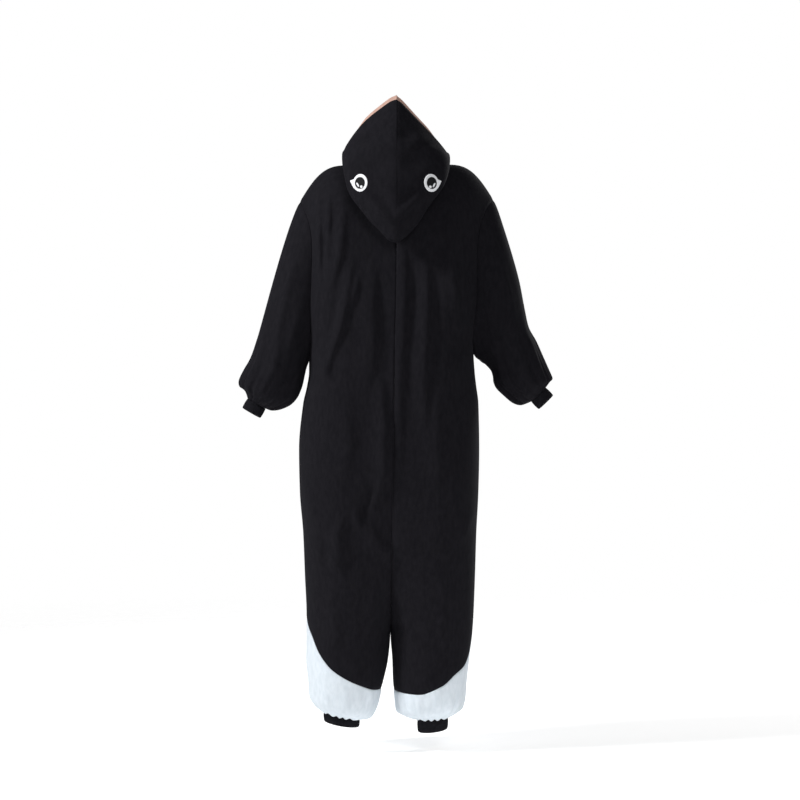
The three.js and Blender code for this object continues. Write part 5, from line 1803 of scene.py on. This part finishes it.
@dataclass
class ButtonBand:
    """The button band down the centre front, with its buttons."""

    body: Body
    half_width: float = 16.0
    top: float = 1296.0
    bottom: float = 640.0
    wall: float = 2.4
    lift: float = 1.2
    radius: float = 11.0
    first: float = 1238.0
    spacing: float = 134.0
    count: int = 5
    rows: int = 130
    stitch_depth: float = 0.45
    stitch_place: float = 0.8
    stitch_width: float = 0.05
    edge_turn: float = 0.9
    edge_start: float = 0.93
    edge_width: float = 0.07
    slope_reach: float = 15
    sunk: float = 0.6
    spokes: int = 48
    thread_foot: float = 1.5
    thread_arch: float = 0.9
    thread_reach: float = 2.9
    thread_radius: float = 0.45
    thread_steps: int = 10
    thread_sides: int = 8

    def band_y(self, x: float, z: float) -> float:
        """Outer face of the band at a place."""
        return self.body.front_y(x, z) - self.lift - self.wall

    def build_band(self) -> None:
        """Make the band with stitched, softly turned edges."""
        shares = np.concatenate([[-1, -0.97], np.linspace(-0.9, 0.9, 13), [0.97, 1]])
        grid = []
        for i in range(self.rows + 1):
            z = self.bottom + (self.top - self.bottom) * i / self.rows
            row = []
            for share in shares:
                x = self.body.centre(z) + share * self.half_width
                stitch = self.stitch_depth * bell(abs(share) - self.stitch_place, self.stitch_width)
                turn = self.edge_turn * max(0.0, (abs(share) - self.edge_start) / self.edge_width) ** 2
                row.append((x, self.band_y(x, z) + stitch + turn, z))
            grid.append(row)
        outer = np.array(grid)
        normals = np.broadcast_to(np.array([0.0, -1.0, 0.0]), outer.shape)
        piece = cloth_wall("cloth_button_band", outer, normals, self.wall - self.sunk)
        dress(piece, WHITE_FLEECE, "button_band")

    def build_button(self, index: int) -> None:
        """Make one button with a raised rim, four holes and its thread.

        Args:
            index: Which button, from 0 at the top.
        """
        z = self.first - index * self.spacing
        x = self.body.centre(z)
        above = self.body.front_y(x, z + self.slope_reach)
        below = self.body.front_y(x, z - self.slope_reach)
        tilt = math.atan((above - below) / (2 * self.slope_reach))
        radius = self.radius
        profile = (
            (0.0, 0.0), (radius - 0.8, 0.0), (radius - 0.2, 0.5), (radius, 1.4), (radius - 0.3, 2.6),
            (radius - 1.2, 3.1), (radius * 0.76, 2.9), (radius * 0.66, 2.4), (radius * 0.3, 2.2),
            (0.0, 2.2),
        )
        spokes = self.spokes
        vertices, faces = [], []
        for r, h in profile:
            for k in range(spokes):
                turn = 2 * math.pi * k / spokes
                vertices.append((r * math.cos(turn), h, r * math.sin(turn)))
        for i in range(len(profile) - 1):
            for k in range(spokes):
                n = (k + 1) % spokes
                faces.append((i * spokes + k, i * spokes + n, (i + 1) * spokes + n, (i + 1) * spokes + k))
        points = np.array(vertices)
        cos, sin = math.cos(-tilt), math.sin(-tilt)
        y, up = -points[:, 1], points[:, 2]
        turned = np.stack([points[:, 0], y * cos - up * sin, y * sin + up * cos], axis=1)
        turned += np.array([x, self.band_y(x, z) - self.sunk, z])
        piece = mesh_object(f"round_button_{index + 1}", metres(turned), faces)
        self.weld(piece)
        dress(piece, BUTTON_PLASTIC, f"button_{index + 1}")
        self.build_thread(index, turned.mean(axis=0), tilt)

    def build_thread(self, index: int, middle: Array, tilt: float) -> None:
        """Make the crossed thread and hole rims on a button.

        Args:
            index: Which button.
            middle: The button's middle.
            tilt: How it leans with the cloth.
        """
        cos, sin = math.cos(-tilt), math.sin(-tilt)
        vertices, faces = [], []
        reach, thick = self.thread_reach, self.thread_radius
        steps, sides = self.thread_steps, self.thread_sides
        for turn in (math.pi / 4, -math.pi / 4):
            start = len(vertices)
            for i in range(steps + 1):
                s = -1 + 2 * i / steps
                arch = self.thread_foot + self.thread_arch * (1 - s * s)
                for k in range(sides):
                    a = 2 * math.pi * k / sides
                    along, across = s * reach, math.cos(a) * thick
                    px = along * math.cos(turn) - across * math.sin(turn)
                    pz = along * math.sin(turn) + across * math.cos(turn)
                    py = -(arch + math.sin(a) * thick)
                    vertices.append((px, py * cos - pz * sin, py * sin + pz * cos))
            for i in range(steps):
                for k in range(sides):
                    n = (k + 1) % sides
                    a = start + i * sides
                    faces.append((a + k, a + n, a + sides + n, a + sides + k))
            faces.append(tuple(start + k for k in range(sides)))
            faces.append(tuple(start + steps * sides + k for k in reversed(range(sides))))
        points = metres(np.array(vertices) + middle + np.array([0, 0.2, 0]))
        piece = mesh_object(f"button_thread_{index + 1}", points, faces)
        dress(piece, WHITE_THREAD)

    @staticmethod
    def weld(piece: Piece) -> None:
        """Merge the points where a turned profile meets its axis."""
        modifier = piece.modifiers.new("weld", "WELD")
        modifier.merge_threshold = 0.00001
        graph = bpy.context.evaluated_depsgraph_get()
        mesh = bpy.data.meshes.new_from_object(piece.evaluated_get(graph))
        piece.modifiers.clear()
        piece.data = mesh

    def build(self) -> None:
        """Make the band and every button."""
        self.build_band()
        for index in range(self.count):
            self.build_button(index)


@dataclass
class Studio:
    """A pale floor, soft light all round and the camera behind the garment."""

    distance: float = 4.7
    height: float = 0.838
    frame_width: float = 1.92
    sensor: float = 36.0
    sideways: float = -0.012
    floor_half: float = 4.0
    room_light: float = 0.08
    floor_glow: float = 0.42
    aim_z: float = -0.25
    lamps: tuple[tuple[str, Triple, float, float], ...] = (
        ("key", (2.7, 1.0, 1.5), 0.6, 118.0),
        ("fill", (-1.3, 4.2, 1.5), 1.6, 78.0),
        ("front", (-2.4, -3.4, 1.6), 1.4, 120.0),
    )

    def build(self) -> None:
        """Set up the floor, the lights and the camera."""
        self.build_floor()
        self.build_lights()
        self.build_camera()

    def build_floor(self) -> None:
        """Lay a pale floor under the soles, which fades into the white surroundings."""
        half = self.floor_half
        z = -NECK_HEIGHT * MM
        mesh = bpy.data.meshes.new("floor")
        corners = [(-half, -half, z), (half, -half, z), (half, half, z), (-half, half, z)]
        mesh.from_pydata(corners, [], [(0, 1, 2, 3)])
        floor = bpy.data.objects.new("floor", mesh)
        bpy.context.scene.collection.objects.link(floor)
        material = bpy.data.materials.new("pale_floor")
        material.use_nodes = True
        tree = material.node_tree
        shader = tree.nodes["Principled BSDF"]
        settle(shader, {
            "Base Color": (0.95, 0.95, 0.95, 1),
            "Emission Color": (1, 1, 1, 1),
            "Emission Strength": self.floor_glow,
            "Roughness": 1.0,
            "Specular IOR Level": 0.0,
        })
        place = tree.nodes.new("ShaderNodeTexCoord")
        scale = tree.nodes.new("ShaderNodeMapping")
        scale.inputs["Scale"].default_value = (1 / half, 1 / half, 0)
        length = tree.nodes.new("ShaderNodeVectorMath")
        length.operation = "LENGTH"
        fade = tree.nodes.new("ShaderNodeMapRange")
        fade.interpolation_type = "SMOOTHSTEP"
        fade.inputs["From Min"].default_value = 0.95
        fade.inputs["From Max"].default_value = 0.25
        clear = tree.nodes.new("ShaderNodeBsdfTransparent")
        blend = tree.nodes.new("ShaderNodeMixShader")
        tree.links.new(place.outputs["Object"], scale.inputs["Vector"])
        tree.links.new(scale.outputs["Vector"], length.inputs[0])
        tree.links.new(length.outputs["Value"], fade.inputs["Value"])
        tree.links.new(fade.outputs["Result"], blend.inputs["Fac"])
        tree.links.new(clear.outputs["BSDF"], blend.inputs[1])
        tree.links.new(shader.outputs["BSDF"], blend.inputs[2])
        tree.links.new(blend.outputs["Shader"], tree.nodes["Material Output"].inputs["Surface"])
        mesh.materials.append(material)

    def build_lights(self) -> None:
        """Set the white surroundings and three large soft lamps."""
        world = bpy.data.worlds.new("soft_room")
        world.use_nodes = True
        tree = world.node_tree
        background = tree.nodes["Background"]
        background.inputs["Color"].default_value = (1, 1, 1, 1)
        path = tree.nodes.new("ShaderNodeLightPath")
        strength = tree.nodes.new("ShaderNodeMapRange")
        strength.inputs["To Min"].default_value = self.room_light
        strength.inputs["To Max"].default_value = 1.0
        tree.links.new(path.outputs["Is Camera Ray"], strength.inputs["Value"])
        tree.links.new(strength.outputs["Result"], background.inputs["Strength"])
        bpy.context.scene.world = world
        for name, place, size, power in self.lamps:
            data = bpy.data.lights.new(name, "AREA")
            data.size = size
            data.energy = power
            lamp = bpy.data.objects.new(name, data)
            lamp.location = place
            aim = Vector((0, 0, self.aim_z)) - Vector(place)
            lamp.rotation_euler = aim.to_track_quat("-Z", "Y").to_euler()
            bpy.context.scene.collection.objects.link(lamp)

    def build_camera(self) -> None:
        """Place the camera level behind the garment."""
        data = bpy.data.cameras.new("camera")
        data.sensor_width = self.sensor
        data.lens = self.sensor * self.distance / self.frame_width
        data.clip_end = 100
        camera = bpy.data.objects.new("camera", data)
        camera.location = (self.sideways, self.distance, self.height - NECK_HEIGHT * MM)
        camera.rotation_euler = (math.pi / 2, 0, math.pi)
        bpy.context.scene.collection.objects.link(camera)
        scene = bpy.context.scene
        scene.camera = camera
        scene.view_settings.view_transform = "Standard"


LEFT_SLEEVE = Sleeve(
    side=Side.LEFT,
    rings=(
        SleeveRing(240, 1288, 210, 921, 82, 0), SleeveRing(256, 1244, 213, 912, 83, 0),
        SleeveRing(276, 1180, 215, 903, 83, 0), SleeveRing(296, 1110, 217, 894, 82, 0),
        SleeveRing(313, 1048, 219, 884, 80, 0), SleeveRing(329, 990, 222, 872, 78, 0.4),
        SleeveRing(344, 940, 227, 859, 76, 1.2), SleeveRing(360, 908, 234, 845, 74, 2.2),
        SleeveRing(370, 884, 245, 832, 70, 3.4), SleeveRing(369, 869, 258, 823, 62, 4.4),
        SleeveRing(360, 861, 279, 815, 50, 4.2), SleeveRing(356, 852, 297, 813, 36, 2.6),
        SleeveRing(353.6, 842.3, 309.8, 817.3, 25, 0.4),
    ),
    folds=(
        SleeveFold(64, 0.5, 7, 9, 4.5, 16), SleeveFold(112, 0.3, 6, 10, 5.0, -10),
        SleeveFold(88, 4, 11, 8, 4.5, -6), SleeveFold(136, 3, 10, 9, 4.5, 12),
        SleeveFold(40, 5, 11, 9, 4.0, 10), SleeveFold(76, 6, 12, 6, -3.5, 4),
        SleeveFold(-70, 0.5, 8, 10, 5.0, -12), SleeveFold(-120, 1, 9, 10, 4.5, 10),
        SleeveFold(-95, 5, 12, 8, -4.0, 0), SleeveFold(10, 6, 11.5, 9, 4.0, -8),
        SleeveFold(160, 6, 12, 9, 4.0, 0),
    ),
)
RIGHT_SLEEVE = Sleeve(
    side=Side.RIGHT,
    rings=(
        SleeveRing(-246, 1296, -195, 939, 82, 0), SleeveRing(-260, 1254, -202, 934, 83, 0),
        SleeveRing(-280, 1190, -209, 928, 83, 0), SleeveRing(-298, 1124, -216, 924, 82, 0),
        SleeveRing(-310, 1062, -224, 916, 80, 0), SleeveRing(-321, 1012, -231, 907, 78, 0.4),
        SleeveRing(-337, 978, -235, 894, 76, 1.2), SleeveRing(-352, 940, -237, 880, 74, 2.2),
        SleeveRing(-366, 906, -245, 865, 70, 3.4), SleeveRing(-373, 888, -261, 850, 62, 4.4),
        SleeveRing(-369, 880, -283, 832, 50, 4.2), SleeveRing(-366, 874, -303, 826, 36, 2.6),
        SleeveRing(-361.8, 868.4, -326.6, 834.2, 25, 0.4),
    ),
    folds=(
        SleeveFold(58, 0.5, 7, 10, 4.5, 14), SleeveFold(104, 0.3, 6, 9, 4.5, -8),
        SleeveFold(84, 4, 11, 8, 5.0, -8), SleeveFold(130, 3, 10, 9, 4.0, 12),
        SleeveFold(36, 5, 11, 9, 4.5, 10), SleeveFold(66, 7, 12, 6, -3.5, 4),
        SleeveFold(-66, 0.5, 8, 10, 5.0, -12), SleeveFold(-118, 1, 9, 10, 4.5, 10),
        SleeveFold(-90, 5, 12, 8, -4.0, 0), SleeveFold(8, 6, 11.5, 9, 4.5, -8),
        SleeveFold(156, 6, 12, 9, 4.0, 0),
    ),
)
CUFFS = (
    RibCuff(
        name="rib_wrist_left", node="wrist_cuff_left",
        top=(332.2, 0, 829.2), end=(345, 0, 807), across=(0.866, 0, 0.5),
        wide=25.2, back=25, front=25, ribs=50, top_tilt=0, tilt=0, flat=(0.158, 0.026),
    ),
    RibCuff(
        name="rib_wrist_right", node="wrist_cuff_right",
        top=(-344.5, 0, 850.9), end=(-362.4, 0, 832.6), across=(-0.717, 0, 0.697),
        wide=24.5, back=25, front=25, ribs=48, top_tilt=0, tilt=0, flat=(0.156, 0.026),
    ),
    RibCuff(
        name="rib_ankle_left", node="ankle_cuff_left",
        top=(128, 0, 86.5), end=(128, 0, 62), across=(1, 0, 0),
        wide=42.4, back=47.8, front=43.8, ribs=84, top_tilt=9, tilt=7, flat=(0.289, 0.020),
    ),
    RibCuff(
        name="rib_ankle_right", node="ankle_cuff_right",
        top=(-90.5, 0, 80.5), end=(-90.5, 0, 47), across=(1, 0, 0),
        wide=36.2, back=47.8, front=43.8, ribs=78, top_tilt=-2.2, tilt=-4, flat=(0.268, 0.034),
    ),
)
EYES = (
    Eye(Side.LEFT, Oval(79.5, 1340, 16.6, 20.6), Oval(80.1, 1339.6, 11.4, 13.5),
        (Oval(84.4, 1335.3, 2.2, 5.0, 0.45), Oval(76.0, 1330.4, 2.9, 2.9))),
    Eye(Side.RIGHT, Oval(-84, 1340, 16.6, 20.6), Oval(-84.6, 1339.6, 11.4, 13.5),
        (Oval(-80.6, 1330.4, 2.9, 2.9), Oval(-89, 1334.9, 2.2, 5.0, -0.45))),
)


def main() -> None:
    """Build the costume piece by piece."""
    logging.basicConfig(level=logging.INFO, format="%(message)s")
    Studio().build()
    cut = Cut()
    body = Body(cut, Drape())
    for sleeve in (LEFT_SLEEVE, RIGHT_SLEEVE):
        body.plan(sleeve.side)
        sleeve.build(body)
        body.build_back(sleeve.side)
        body.build_front(sleeve.side)
    for cuff in CUFFS:
        cuff.build()
    hood = Hood(cut)
    for side in Side:
        hood.build(side)
    for eye in EYES:
        eye.build(hood)
    ButtonBand(body).build()


if __name__ == "__main__":
    main()
